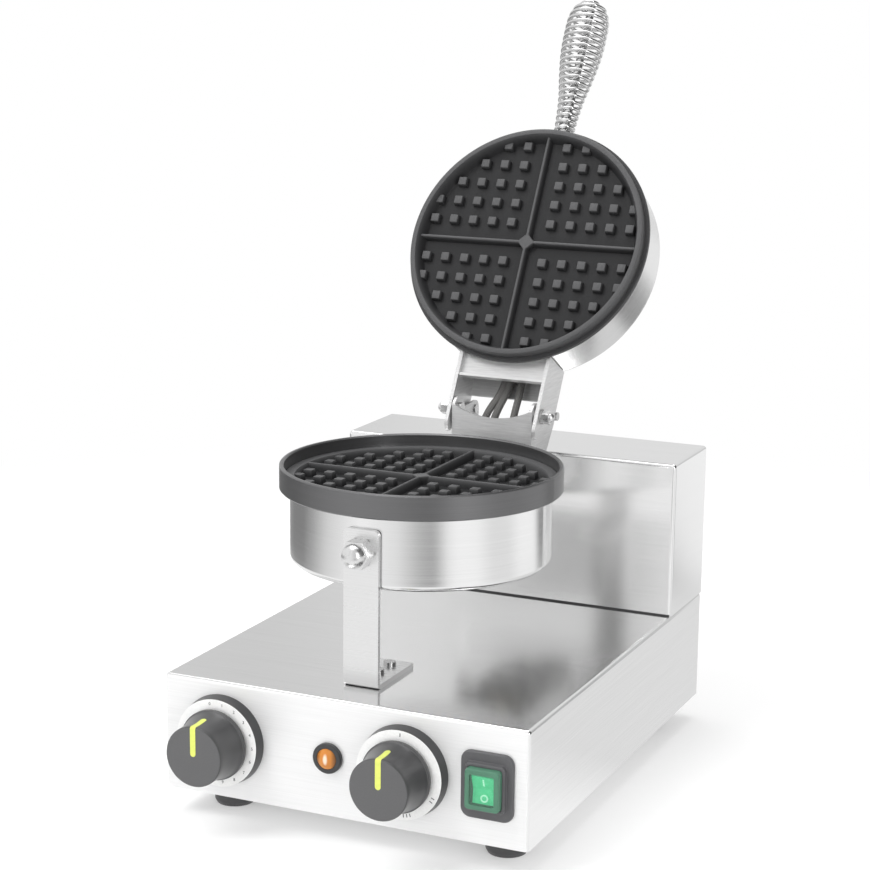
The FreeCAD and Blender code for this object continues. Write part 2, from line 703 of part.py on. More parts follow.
def tower_rear_panel():
    """Inset rear panel with vent slots and the gland's hole."""
    part = body("tower_rear_panel")
    plan = sketch(part, "XZ", -rear)
    box_outline(
        plan, -panel_half, panel_half, base_top + s.fit_gap, tower_top - s.sheet_gauge - s.fit_gap)
    pad(part, plan, s.sheet_gauge)
    plan = sketch(part, "XZ", -rear)
    for x, z in panel_screw_spots:
        circle(plan, x, z, screw_hole)
    circle(plan, gland_x, gland_z, s.gland_neck / 2 + s.fit_gap)
    for index in SLOT_ROWS:
        z = gland_z + index * s.vent_pitch
        box_outline(
            plan, -s.vent_length / 2, s.vent_length / 2, z - s.vent_width / 2, z + s.vent_width / 2)
    pocket(part, plan, s.sheet_gauge, reverse=True)


def tower_screws():
    """Screws of the rear panel and, inside, of the tower's foot flange."""
    spots = [(x, -z) for x, z in panel_screw_spots]
    place(screws("tower_panel_screws", spots, s.sheet_gauge * 2), 0, rear, 0, BACKWARD)
    place(
        screws("tower_foot_screws", tower_screw_spots, s.sheet_gauge * 2),
        0, 0, base_top + s.sheet_gauge)


def cable_gland():
    """Membrane gland for the supply cord and its nut behind the panel."""
    bore = s.gland_bore / 2
    neck = s.gland_neck / 2
    flange = s.gland_flange / 2
    reach = s.gland_neck
    part = body("cable_gland")
    turn(part, [
        (bore, -reach), (neck, -reach), (neck, 0), (flange, 0), (flange, s.gland_rim),
        (neck, s.gland_rim + s.gland_taper), (neck, reach), (0, reach),
        (0, reach - s.gland_skin), (bore, reach - s.gland_skin)])
    place(part, gland_x, rear, gland_z, BACKWARD)
    part = body("gland_nut")
    plan = sketch(part, "XY", -s.sheet_gauge)
    hexagon(plan, 0, 0, s.gland_flange)
    circle(plan, 0, 0, neck + s.seat_gap)
    pad(part, plan, s.gland_rim, reverse=True)
    place(part, gland_x, rear, gland_z, BACKWARD)


def terminal_block():
    """Block behind the lead window where the heater leads end."""
    part = body("terminal_block")
    low = tower_front + s.sheet_gauge
    plan = sketch(part, "XY", window_mid - s.block_height / 2)
    box_outline(plan, -s.block_width / 2, s.block_width / 2, low, low + s.block_depth)
    pad(part, plan, s.block_height)
    plan = sketch(part, "XZ", -(low + s.block_depth))
    for x in LEAD_PLACES:
        circle(plan, x, lead_z, s.core_diameter / 2)
    pocket(part, plan, s.block_depth / 2, reverse=True)


# Controls, drawn with z = 0 on the panel's face and z pointing out of it


def place_control(part, x):
    """Put a control's piece on the front panel."""
    place(part, x, front, control_z, FORWARD)


shaft_end = s.dial_thickness + s.knob_gap + s.knob_length * 3 / 4
bush_end = s.dial_thickness - s.fit_gap
bore_r = s.shaft_diameter / 2 + s.running_gap
bore_floor = -s.sheet_gauge - s.control_depth / 3


def control_body(label, x):
    """Case behind the panel with the bush that carries the shaft."""
    part = body(label)
    half = s.control_square / 2
    plan = sketch(part, "XY", -s.sheet_gauge)
    box_outline(plan, -half, half, -half, half)
    pad(part, plan, s.control_depth, reverse=True)
    plan = sketch(part, "XY", -s.sheet_gauge)
    circle(plan, 0, 0, s.bush_diameter / 2)
    pad(part, plan, s.sheet_gauge + bush_end)
    plan = sketch(part, "XY", bush_end)
    circle(plan, 0, 0, bore_r)
    pocket(part, plan, bush_end - bore_floor)
    place_control(part, x)


def control_dial(label, x):
    """Dial plate round the bush."""
    part = body(label)
    hole = s.bush_diameter / 2 + s.fit_gap
    turn(part, [
        (hole, 0), (s.dial_diameter / 2, 0), (s.dial_face / 2, s.dial_thickness),
        (hole, s.dial_thickness)])
    place_control(part, x)


def control_shaft(label, x):
    """Shaft from the case into the knob."""
    part = body(label)
    plan = sketch(part, "XY", bore_floor + s.fit_gap)
    circle(plan, 0, 0, s.shaft_diameter / 2)
    pad(part, plan, shaft_end - bore_floor - s.fit_gap)
    place_control(part, x)


def control_knob(label, x):
    """Hollow knob with a straight skirt, a tapering grip and a rounded front edge."""
    part = body(label)
    back = s.dial_thickness + s.knob_gap
    tip = back + s.knob_length
    skirt = s.knob_skirt / 2
    grip = s.knob_front / 2
    hub = s.knob_hub / 2
    bore = s.shaft_diameter / 2 + s.seat_gap
    roof = shaft_end - s.knob_wall
    turn(part, [
        (bore, back + s.knob_shoulder), (hub, back + s.knob_shoulder), (hub, roof),
        (grip - s.knob_wall, roof), (skirt - s.knob_wall, back), (skirt, back),
        (skirt, back + s.knob_band), (skirt - s.knob_shoulder, back + s.knob_band + s.knob_shoulder),
        (grip, tip - s.knob_round), (grip - s.knob_round, tip, s.knob_round),
        (0, tip), (0, shaft_end), (bore, shaft_end)])
    place_control(part, x)


def controls():
    """Timer on the left, thermostat right of the middle."""
    for name, x in (("timer", timer_x), ("thermostat", thermostat_x)):
        control_body(name + "_body", x)
        control_dial(name + "_dial", x)
        control_shaft(name + "_shaft", x)
        control_knob(name + "_knob", x)


def pilot_lamp():
    """Bezel, domed lens and the lamp's barrel behind the panel."""
    lens = s.lens_diameter / 2
    barrel = s.lamp_barrel / 2
    part = body("lamp_bezel")
    outer = s.lamp_bezel_diameter / 2
    inner = lens + s.fit_gap
    turn(part, [
        (inner, 0), (outer, 0), (outer, s.lamp_bezel_height - s.lamp_round),
        (outer - s.lamp_round, s.lamp_bezel_height, s.lamp_round), (inner, s.lamp_bezel_height)])
    place_control(part, lamp_x)
    part = body("lamp_lens")
    dome = s.lens_height - s.lamp_bezel_height
    turn(part, [
        (0, 0), (lens, 0), (lens, s.lamp_bezel_height),
        (0, s.lens_height, (lens * lens + dome * dome) / (2 * dome))])
    place_control(part, lamp_x)
    part = body("lamp_body")
    plan = sketch(part, "XY")
    circle(plan, 0, 0, barrel)
    pad(part, plan, s.lamp_depth, reverse=True)
    plan = sketch(part, "XY", -s.sheet_gauge)
    hexagon(plan, 0, 0, s.lamp_bezel_diameter)
    pad(part, plan, s.lamp_bezel_height, reverse=True)
    place_control(part, lamp_x)


recess_x = s.rocker_width / 2 + s.fit_gap
recess_y = s.rocker_height / 2 + s.rocker_room
recess_depth = s.boot_seat + s.rocker_pivot + s.rocker_pin + s.rocker_skirt
pin_end = recess_x + s.pin_reach


def switch_bezel():
    """Flat frame with a raised frame round the boot."""
    part = body("switch_bezel")
    hole_x = s.boot_width + s.fit_gap * 2
    hole_y = s.boot_height + s.fit_gap * 2
    plan = sketch(part, "XY")
    round_box_outline(plan, s.switch_bezel_width, s.switch_bezel_height, s.switch_corner)
    pad(part, plan, s.switch_bezel_depth)
    plan = sketch(part, "XY")
    round_box_outline(plan, s.frame_width, s.frame_height, s.switch_corner / 4)
    pad(part, plan, s.frame_front)
    plan = sketch(part, "XY")
    round_box_outline(plan, hole_x, hole_y, s.switch_corner / 6)
    pocket(part, plan, s.frame_front, reverse=True)
    place_control(part, switch_x)


def switch_boot():
    """Clear boot over the rocker."""
    part = body("switch_boot")
    plan = sketch(part, "XY", s.boot_seat)
    round_box_outline(plan, s.boot_width, s.boot_height, s.switch_corner / 3)
    block = pad(part, plan, s.boot_front - s.boot_seat)
    round_edges(part, block, s.boot_round, lambda middle: middle.z > s.boot_front.value - 0.1)
    plan = sketch(part, "XY", s.boot_seat)
    wall = s.boot_wall * 2
    round_box_outline(plan, s.boot_width - wall, s.boot_height - wall, s.switch_corner / 6)
    pocket(part, plan, s.boot_front - s.boot_seat - s.boot_wall, reverse=True)
    place_control(part, switch_x)


def switch_body():
    """Case through the panel, with the rocker's recess and pivot bore."""
    part = body("switch_body")
    plan = sketch(part, "XY", s.boot_seat)
    box_outline(
        plan, -s.boot_width / 2, s.boot_width / 2, -s.boot_height / 2, s.boot_height / 2)
    pad(part, plan, s.switch_depth + s.boot_seat, reverse=True)
    plan = sketch(part, "XY", s.boot_seat)
    box_outline(plan, -recess_x, recess_x, -recess_y, recess_y)
    pocket(part, plan, recess_depth)
    plan = sketch(part, "YZ")
    circle(plan, 0, -s.rocker_pivot, s.rocker_pin / 2 + s.running_gap)
    pocket(part, plan, (pin_end + s.fit_gap) * 2, both_ways=True)
    place_control(part, switch_x)


def switch_rocker():
    """Rocker with a hollow face and pivot pins, drawn about its pivot and tilted to off."""
    part = body("switch_rocker")
    half = s.rocker_height / 2
    plan = sketch(part, "YZ")
    outline(plan, [
        (-half, s.rocker_skirt), (-s.rocker_pin, -s.rocker_pin / 2),
        (s.rocker_pin, -s.rocker_pin / 2), (half, s.rocker_skirt), (half, s.rocker_rise),
        (0, s.rocker_rise - s.rocker_dip), (-half, s.rocker_rise)])
    pad(part, plan, s.rocker_width, both_ways=True)
    plan = sketch(part, "YZ")
    circle(plan, 0, 0, s.rocker_pin / 2)
    pad(part, plan, pin_end * 2, both_ways=True)
    tilt = FreeCAD.Rotation(FreeCAD.Vector(1, 0, 0), s.rocker_tilt.value)
    place(part, switch_x, front + s.rocker_pivot, control_z, FORWARD.multiply(tilt))


# Plates and drums


def stud_outlines(part, floor_r):
    """Square studs of one plate, on an even lattice that the ribs run through."""
    plan = sketch(part, "XY")
    half = s.stud_base.value / 2
    limit = floor_r.value + half / 2
    steps = [s.stud_pitch.value * index for index in range(1, STUD_ROWS + 1)]
    lines = []
    for x in [sign * step for step in steps for sign in (-1, 1)]:
        for y in [sign * step for step in steps for sign in (-1, 1)]:
            if math.hypot(x, y) > limit:
                continue
            ends = [(x - half, y - half), (x + half, y - half), (x + half, y + half), (x - half, y + half)]
            corners = [FreeCAD.Vector(a, b, 0) for a, b in ends]
            lines += [Part.LineSegment(corners[k - 1], corners[k]) for k in range(4)]
    plan.addGeometry(lines, False)
    return plan


def waffle_grid(part, floor_r):
    """Studs, cross ribs and the diamond on a plate whose grid floor is z = 0."""
    studs = pad(part, stud_outlines(part, floor_r), s.stud_height)
    bind(studs, "TaperAngle", -s.stud_draft)
    profile = [
        (-s.rib_base / 2, 0), (s.rib_base / 2, 0), (s.rib_top / 2, s.rib_height),
        (-s.rib_top / 2, s.rib_height)]
    for plane in ("XZ", "YZ"):
        plan = sketch(part, plane)
        outline(plan, profile)
        pad(part, plan, s.grid_diameter, both_ways=True)
    plan = sketch(part, "XY")
    half = s.hub_diagonal / 2
    outline(plan, [(half, 0), (0, half), (-half, 0), (0, -half)])
    pad(part, plan, s.rib_height)


def grid_plate(label, depth, edge):
    """Plate of one half: its turned edge, a grid cavity of that depth, and the grid in it."""
    part = body(label)
    inner = s.grid_diameter / 2
    floor_r = inner - depth * s.grid_draft
    turn(part, edge + [(inner, depth), (floor_r, 0), (0, 0), (0, depth - s.plate_depth)])
    waffle_grid(part, floor_r)
    return part


def lower_plate():
    """Fixed plate: grid and ledge for the lid's rim, seated on the drum."""
    outer = s.rim_diameter / 2 - s.rim_wall - s.seat_gap
    seat = drum_r - s.drum_wall - s.fit_gap
    depth = s.grid_depth
    band = depth + s.ledge_depth - s.rim_band
    part = grid_plate(
        "lower_plate", depth,
        [(seat, depth - s.plate_depth), (seat, band), (outer, band), (outer, depth)])
    place(part, 0, pan_y, grid_z)


def lower_rim():
    """Ring shrunk on the fixed plate, which keeps the batter in."""
    part = body("lower_rim")
    outer = s.rim_diameter / 2
    inner = outer - s.rim_wall
    top = s.rim_band
    cut = s.rim_chamfer
    turn(part, [
        (inner, 0), (outer - cut, 0), (outer, cut), (outer, top - cut), (outer - cut, top),
        (inner + cut, top), (inner, top - cut)])
    place(part, 0, pan_y, rim_z - s.rim_band)


def upper_plate():
    """Lid plate: a deeper grid, a rim that nests in the lower ring, and a flange behind it."""
    rim = s.rim_diameter / 2 - s.rim_wall - s.nest_gap
    outer = rim + s.lid_flange
    seat = lid_drum_r - s.drum_wall - s.fit_gap
    depth = s.lid_grid_depth
    flange = depth - s.ledge_depth
    back = flange - s.lid_stand
    cut = s.rim_chamfer
    part = grid_plate(
        "upper_plate", depth,
        [(seat, depth - s.plate_depth), (seat, back), (outer, back), (outer, flange),
         (rim, flange), (rim, depth - cut), (rim - cut, depth)])
    place_on_lid(part, 0, pan_y, lid_grid_z, FLIPPED)


def drum(label, radius, height, holes):
    """Spun cup with its closed end at z = 0; holes are x, z, radius and the side, -1 front."""
    part = body(label)
    bend = s.drum_round
    wall = s.drum_wall
    inner = radius - wall
    turn(part, [
        (0, 0), (radius - bend, 0), (radius, bend, bend), (radius, height), (inner, height),
        (inner, bend), (radius - bend, wall, wall - bend), (0, wall)])
    for side in (-1, 1):
        chosen = [hole for hole in holes if hole[3] == side]
        plan = sketch(part, "XZ")
        for x, z, hole_radius, _ in chosen:
            circle(plan, x, z, hole_radius)
        pocket(part, plan, radius + 1, reverse=side < 0)
    return part


strap_stud_z = drum_top - s.stud_drop
lead_hole = s.lead_diameter / 2 + s.fit_gap


def lower_drum():
    """Drum under the fixed plate, with holes for the strap's stud and the leads."""
    holes = [(0, strap_stud_z - drum_floor, s.bolt_diameter / 2 + s.hole_gap, -1)]
    for x in (-s.terminal_spread / 2, s.terminal_spread / 2):
        holes.append((x, lower_lead_z - drum_floor, lead_hole, 1))
    place(drum("lower_drum", drum_r, s.drum_height, holes), 0, pan_y, drum_floor)


def upper_drum():
    """Drum of the lid, with holes for the handle's rod and the leads."""
    holes = [(0, lid_top_z - handle_z, s.rod_diameter / 2 + s.hole_gap, 1)]
    for x in LEAD_PLACES:
        holes.append((x, lid_top_z - hinge_z - s.lead_rise, lead_hole, -1))
    part = drum("upper_drum", lid_drum_r, s.lid_drum_height, holes)
    place_on_lid(part, 0, pan_y, lid_top_z, FLIPPED)


ring_r = s.ring_diameter / 2
terminal_y = chord_reach(ring_r, s.terminal_spread / 2)


def heating_element(label, length):
    """Open ring of tube with two straight terminals, its middle plane at z = 0."""
    part = body(label)
    tube = s.tube_diameter / 2
    plan = sketch(part, "XZ")
    circle(plan, ring_r, 0, tube)
    ring = part.newObject("PartDesign::Revolution", label + "_ring")
    ring.Profile = plan
    ring.ReferenceAxis = (plan, ["V_Axis"])
    gap = 2 * math.degrees(math.asin(s.terminal_spread.value / s.ring_diameter.value))
    ring.Angle = 360 - gap
    plan = sketch(part, "XY", s.tube_diameter / 2)
    start = FreeCAD.Vector(ring_r.value, 0, 0)
    for angle in (0, 360 - gap):
        spot = FreeCAD.Rotation(FreeCAD.Vector(0, 0, 1), angle).multVec(start)
        disc = Part.Circle(spot, FreeCAD.Vector(0, 0, 1), s.terminal_diameter.value / 2)
        plan.addGeometry(disc, False)
    pad(part, plan, length + s.tube_diameter / 2, reverse=True)
    return part


def element_turn():
    """Turn that brings the element's gap to the rear."""
    gap = math.degrees(math.asin(s.terminal_spread.value / s.ring_diameter.value))
    return FreeCAD.Rotation(FreeCAD.Vector(0, 0, 1), 90 + gap)


def clamp_plate(label):
    """Disc that presses the element to its plate, with a middle post and terminal holes."""
    part = body(label)
    plan = sketch(part, "XY")
    circle(plan, 0, 0, s.clamp_diameter / 2)
    for x in (-s.terminal_spread / 2, s.terminal_spread / 2):
        circle(plan, x, terminal_y, s.tube_diameter / 2)
    pad(part, plan, s.clamp_gauge, reverse=True)
    plan = sketch(part, "XY")
    circle(plan, 0, 0, s.tube_diameter)
    pad(part, plan, s.tube_diameter + s.element_gap * 2)
    return part


def insulation(label):
    """Disc of insulation on the drum's closed end."""
    part = body(label)
    plan = sketch(part, "XY", s.drum_wall)
    circle(plan, 0, 0, s.insulation_diameter / 2)
    pad(part, plan, s.insulation_height)
    return part


def heaters():
    """Element, clamp plate and insulation of both halves."""
    axis = s.tube_diameter / 2 + s.element_gap
    clamp = s.tube_diameter + s.element_gap * 2
    half_turn = FLIPPED.multiply(FreeCAD.Rotation(FreeCAD.Vector(0, 0, 1), 180))
    place(
        heating_element("lower_heating_element", s.terminal_length),
        0, pan_y, plate_z - axis, element_turn())
    place(clamp_plate("lower_clamp_plate"), 0, pan_y, plate_z - clamp)
    place(insulation("lower_insulation"), 0, pan_y, drum_floor)
    place_on_lid(
        heating_element("upper_heating_element", s.lid_terminal_length),
        0, pan_y, lid_plate_z + axis, half_turn.multiply(element_turn()))
    place_on_lid(clamp_plate("upper_clamp_plate"), 0, pan_y, lid_plate_z + clamp, half_turn)
    place_on_lid(insulation("upper_insulation"), 0, pan_y, lid_top_z, FLIPPED)


# Front strap


def front_strap():
    """Bent strap from the base's top up to the drum."""
    part = body("front_strap")
    gauge = s.strap_gauge
    face = strap_back - gauge
    top = drum_top - s.strap_drop
    bend = gauge + s.strap_bend
    plan = sketch(part, "YZ")
    outline(plan, [
        (face + bend, base_top, bend), (strap_foot_rear, base_top), (strap_foot_rear, base_top + gauge),
        (strap_back + s.strap_bend, base_top + gauge), (strap_back, base_top + bend, -s.strap_bend),
        (strap_back, top), (face, top), (face, base_top + bend)])
    block = pad(part, plan, s.strap_width, both_ways=True)
    half = s.strap_width.value / 2
    round_edges(
        part, block, s.strap_corner,
        lambda middle: abs(abs(middle.x) - half) < 0.1 and abs(middle.z - top.value) < 0.1)
    plan = sketch(part, "XZ", -face)
    circle(plan, 0, strap_stud_z, s.bolt_diameter / 2 + s.hole_gap)
    pocket(part, plan, gauge)
    plan = sketch(part, "XY", base_top)
    for y in foot_screw_ys:
        circle(plan, 0, y, screw_hole)
    pocket(part, plan, gauge, reverse=True)


def front_strap_screws():
    """Round-head screws of the strap's foot."""
    spots = [(0, y) for y in foot_screw_ys]
    part = screws("front_strap_screws", spots, s.strap_gauge + s.sheet_gauge)
    place(part, 0, 0, base_top + s.strap_gauge)


def cap_nut(part, across, height, offset):
    """Hexagon along z from the offset, closed by a narrower dome."""
    radius = across / 2 - s.dome_step
    plan = sketch(part, "XY", offset)
    hexagon(plan, 0, 0, across)
    pad(part, plan, height)
    top = offset + height
    rise = radius * DOME_RISE
    turn(part, [
        (0, top), (radius, top),
        (0, top + rise, (radius * radius + rise * rise) / (2 * rise))])


def front_strap_stud():
    """Stud through the strap and the drum, with a washer and cap nut outside and a head inside."""
    part = body("front_strap_stud")
    bolt = s.bolt_diameter / 2
    wall = s.strap_gauge + s.saddle_gap + s.drum_wall
    plan = sketch(part, "XY")
    circle(plan, 0, 0, s.nut_width / 2 + s.nut_washer_rim)
    pad(part, plan, s.nut_washer)
    cap_nut(part, s.nut_width, s.nut_height, s.nut_washer)
    plan = sketch(part, "XY")
    circle(plan, 0, 0, bolt)
    pad(part, plan, wall + s.stud_head, reverse=True)
    plan = sketch(part, "XY", -wall - s.fit_gap)
    hexagon(plan, 0, 0, s.stud_head_width)
    pad(part, plan, s.stud_head, reverse=True)
    place(part, 0, strap_back - s.strap_gauge, strap_stud_z, FORWARD)


# Hinge

lower_half = s.lower_span / 2
upper_half = s.upper_span / 2
cheek_gap = upper_half - s.upper_gauge - lower_half
panel_y = hinge_y - s.panel_offset
bracket_floor = hinge_z - s.lower_drop
wing_top = hinge_z - s.wing_drop
ear_rise = chord_reach(s.lower_ear, s.panel_offset)
swing = math.radians(s.open_angle.value)
open_sin = Size(math.sin(swing), "sin(sizes.open_angle * 1 deg)")
open_cos = Size(math.cos(swing), "cos(sizes.open_angle * 1 deg)")
stop_depth = s.upper_rise + s.stop_diameter / 2 + s.fit_gap
stop_y = hinge_y + stop_depth * open_sin - s.stop_reach * open_cos
stop_z = hinge_z + stop_depth * open_cos + s.stop_reach * open_sin
ear_gap = s.stop_diameter / 2 + s.stop_margin


def lower_hinge_bracket():
    """Bracket from the drum to the tower: cheeks, front panel, saddle and rear flanges."""
    part = body("lower_hinge_bracket")
    gauge = s.lower_gauge
    inner = lower_half - gauge
    saddle_r = drum_r + s.saddle_gap
    wing_front = pan_y + chord_reach(saddle_r + gauge, lower_half)
    plan = sketch(part, "YZ", inner)
    outline(plan, [
        (wing_front, bracket_floor), (tower_front, bracket_floor),
        (tower_front, tower_top + s.tower_lift), (stop_y + ear_gap, stop_z - ear_gap),
        (stop_y + ear_gap, stop_z), (stop_y, stop_z + ear_gap, ear_gap),
        (hinge_y + s.lower_ear, hinge_z), (hinge_y, hinge_z + s.lower_ear, s.lower_ear),
        (panel_y, hinge_z + ear_rise, s.lower_ear), (panel_y, wing_top), (wing_front, wing_top)])
    cheek = pad(part, plan, gauge)
    mirror(part, [cheek])
    plan = sketch(part, "XZ", -panel_y)
    top = hinge_z + ear_rise
    dip_r = (inner * inner + s.panel_dip * s.panel_dip) / (2 * s.panel_dip)
    outline(plan, [
        (-inner, bracket_floor), (inner, bracket_floor), (inner, top),
        (0, top - s.panel_dip, -dip_r), (-inner, top, -dip_r)])
    pad(part, plan, gauge, reverse=True)
    plan = sketch(part, "XZ", -tower_front)
    flange = bracket_screw_x - s.screw_head / 2 - s.fit_gap
    for x_low, x_high in ((-inner, -flange), (flange, inner)):
        box_outline(plan, x_low, x_high, bracket_floor, bracket_screw_z + s.screw_head)
    pad(part, plan, gauge)
    plan = sketch(part, "XY", bracket_floor)
    reach = chord_reach(saddle_r, lower_half)
    outer_reach = chord_reach(saddle_r + gauge, lower_half)
    outline(plan, [
        (lower_half, pan_y + reach, -saddle_r), (lower_half, pan_y + outer_reach),
        (-lower_half, pan_y + outer_reach, saddle_r + gauge), (-lower_half, pan_y + reach)])
    pad(part, plan, wing_top - bracket_floor)
    plan = sketch(part, "YZ")
    circle(plan, hinge_y, hinge_z, s.hinge_bolt / 2 + s.seat_gap)
    circle(plan, stop_y, stop_z, s.stop_diameter / 2 + s.seat_gap)
    pocket(part, plan, s.lower_span, both_ways=True)
    plan = sketch(part, "XZ", -panel_y)
    for x in (-s.terminal_spread / 2, s.terminal_spread / 2):
        circle(plan, x, lower_lead_z, lead_hole)
    pocket(part, plan, panel_y - pan_y, both_ways=True)
    plan = sketch(part, "XZ", -tower_front)
    for x, z in bracket_screw_spots:
        circle(plan, x, z, screw_hole)
    pocket(part, plan, gauge, reverse=True)


def lower_bracket_screws():
    """Screws of the lower bracket's flanges, with nuts inside the tower."""
    part = screws(
        "lower_bracket_screws", bracket_screw_spots, s.lower_gauge + s.sheet_gauge, nut=s.screw_head)
    place(part, 0, tower_front - s.lower_gauge, 0, FORWARD)


def hinge_bolt(label, side):
    """Bolt through both cheeks on one side; side is -1 on the left."""
    part = body(label)
    head = lower_half - s.lower_gauge
    tip = upper_half + s.washer_gap + s.outer_washer + s.hinge_nut_height
    plan = sketch(part, "XY", head)
    circle(plan, 0, 0, s.hinge_head / 2)
    pad(part, plan, s.hinge_bolt / 2, reverse=True)
    plan = sketch(part, "XY", head)
    circle(plan, 0, 0, s.hinge_bolt / 2)
    pad(part, plan, tip - head)
    place(part, 0, hinge_y, hinge_z, FreeCAD.Rotation(FreeCAD.Vector(0, 1, 0), 90 * side))


def hinge_washers(label, side):
    """Washer between the cheeks and washer under the nut."""
    part = body(label)
    ring = s.washer_diameter / 2
    hole = s.hinge_bolt / 2 + s.seat_gap
    layers = (
        (lower_half, cheek_gap - s.washer_gap),
        (upper_half + s.washer_gap, s.outer_washer))
    for start, thickness in layers:
        plan = sketch(part, "XY", start)
        circle(plan, 0, 0, ring)
        circle(plan, 0, 0, hole)
        pad(part, plan, thickness)
    place(part, 0, hinge_y, hinge_z, FreeCAD.Rotation(FreeCAD.Vector(0, 1, 0), 90 * side))


def hinge_cap_nut(label, side):
    """Domed nut on the end of a hinge bolt."""
    part = body(label)
    start = upper_half + s.washer_gap + s.outer_washer
    cap_nut(part, s.hinge_nut, s.hinge_nut_height + s.fit_gap, start)
    plan = sketch(part, "XY", start)
    circle(plan, 0, 0, s.hinge_bolt / 2 + s.seat_gap)
    pocket(part, plan, s.hinge_nut_height, reverse=True)
    place(part, 0, hinge_y, hinge_z, FreeCAD.Rotation(FreeCAD.Vector(0, 1, 0), 90 * side))


def stop_pin(label, side):
    """Pin on which an upper cheek rests when the lid is open."""
    part = body(label)
    inner = lower_half - s.lower_gauge
    plan = sketch(part, "XY", inner - s.stop_overhang)
    circle(plan, 0, 0, s.stop_diameter / 2)
    pad(part, plan, upper_half - inner + s.stop_overhang * 2)
    place(part, 0, stop_y, stop_z, FreeCAD.Rotation(FreeCAD.Vector(0, 1, 0), 90 * side))


def hinge():
    """Bolts, washers, nuts and stops of both sides."""
    for name, side in (("left", -1), ("right", 1)):
        hinge_bolt("hinge_bolt_" + name, side)
        hinge_washers("hinge_washers_" + name, side)
        hinge_cap_nut("hinge_nut_" + name, side)
        stop_pin("stop_pin_" + name, side)


def upper_hinge_bracket():
    """Bracket of the lid: cheeks, top web, shelf with a lip, and a saddle on the drum."""
    part = body("upper_hinge_bracket")
    gauge = s.web_gauge
    inner = upper_half - s.upper_gauge
    saddle_r = lid_drum_r + s.saddle_gap
    drum_y = pan_y + chord_reach(saddle_r, inner)
    top = hinge_z + s.upper_rise
    ear = s.upper_ear
    heel = hinge_y + s.upper_heel
    plan = sketch(part, "YZ", inner)
    outline(plan, [
        (drum_y, hinge_z - ear), (heel - ear, hinge_z - ear), (heel, hinge_z, ear),
        (hinge_y - ear, top), (drum_y, top)])
    cheek = pad(part, plan, s.upper_gauge)
    mirror(part, [cheek])
    plan = sketch(part, "YZ")
    box_outline(plan, drum_y, hinge_y - s.web_end, top - gauge, top)
    pad(part, plan, inner * 2, both_ways=True)
    shelf_top = hinge_z - s.shelf_drop + gauge
    shelf_rear = hinge_y - s.shelf_end
    plan = sketch(part, "YZ")
    outline(plan, [
        (drum_y, shelf_top - gauge), (shelf_rear - gauge, shelf_top - gauge),
        (shelf_rear - gauge, shelf_top - gauge - s.shelf_lip),
        (shelf_rear, shelf_top - gauge - s.shelf_lip), (shelf_rear, shelf_top), (drum_y, shelf_top)])
    pad(part, plan, inner * 2, both_ways=True)
    plan = sketch(part, "XY", shelf_top - gauge)
    reach = chord_reach(saddle_r, inner)
    outer_reach = chord_reach(saddle_r + gauge, inner)
    outline(plan, [
        (inner, pan_y + reach, -saddle_r), (inner, pan_y + outer_reach),
        (-inner, pan_y + outer_reach, saddle_r + gauge), (-inner, pan_y + reach)])
    pad(part, plan, top - shelf_top + gauge)
    plan = sketch(part, "XY", top)
    circle(plan, 0, pan_y, saddle_r)
    pocket(part, plan, s.upper_rise + ear)
    plan = sketch(part, "YZ")
    circle(plan, hinge_y, hinge_z, s.hinge_bolt / 2 + s.running_gap)
    pocket(part, plan, s.upper_span, both_ways=True)
    plan = sketch(part, "XZ", -(pan_y + lid_drum_r))
    box_outline(
        plan, LEAD_PLACES[0] - s.lead_diameter, LEAD_PLACES[2] + s.lead_diameter,
        hinge_z + s.lead_rise - s.lead_diameter, hinge_z + s.lead_rise + s.lead_diameter)
    pocket(part, plan, s.web_gauge * 4, both_ways=True)
    place_on_lid(part)


# Heater leads


def lead(points, radii):
    """One sleeved lead in a plane across the hinge: straight runs joined by round bends."""
    edges = []
    start = points[0]
    for corner, after, radius in zip(points[1:-1], points[2:], radii):
        before = (start - corner).normalize()
        ahead = (after - corner).normalize()
        half = math.acos(max(-1.0, min(1.0, before.dot(ahead)))) / 2
        run = radius / math.tan(half)
        bend_from = corner + before * run
        bend_to = corner + ahead * run
        inward = (before + ahead).normalize()
        crown = corner + inward * (radius / math.sin(half) - radius)
        edges.append(Part.LineSegment(start, bend_from).toShape())
        edges.append(Part.Arc(bend_from, crown, bend_to).toShape())
        start = bend_to
    edges.append(Part.LineSegment(start, points[-1]).toShape())
    path = Part.Wire(edges)
    section = Part.makeCircle(s.lead_diameter.value / 2, points[0], points[1] - points[0])
    solid = path.makePipeShell([Part.Wire(section)], True, False)
    share = solid.Volume / (path.Length * math.pi * s.lead_diameter.value ** 2 / 4)
    print("lead length %.1f bends %s volume share %.4f" % (path.Length, radii, share))
    return solid


def group(label, solids):
    """A sub-part of several like solids."""
    part = doc.addObject("Part::Feature", label)
    part.Label = label
    part.Shape = solids[0] if len(solids) == 1 else Part.makeCompound(solids)
    pieces.append(part)
    return part


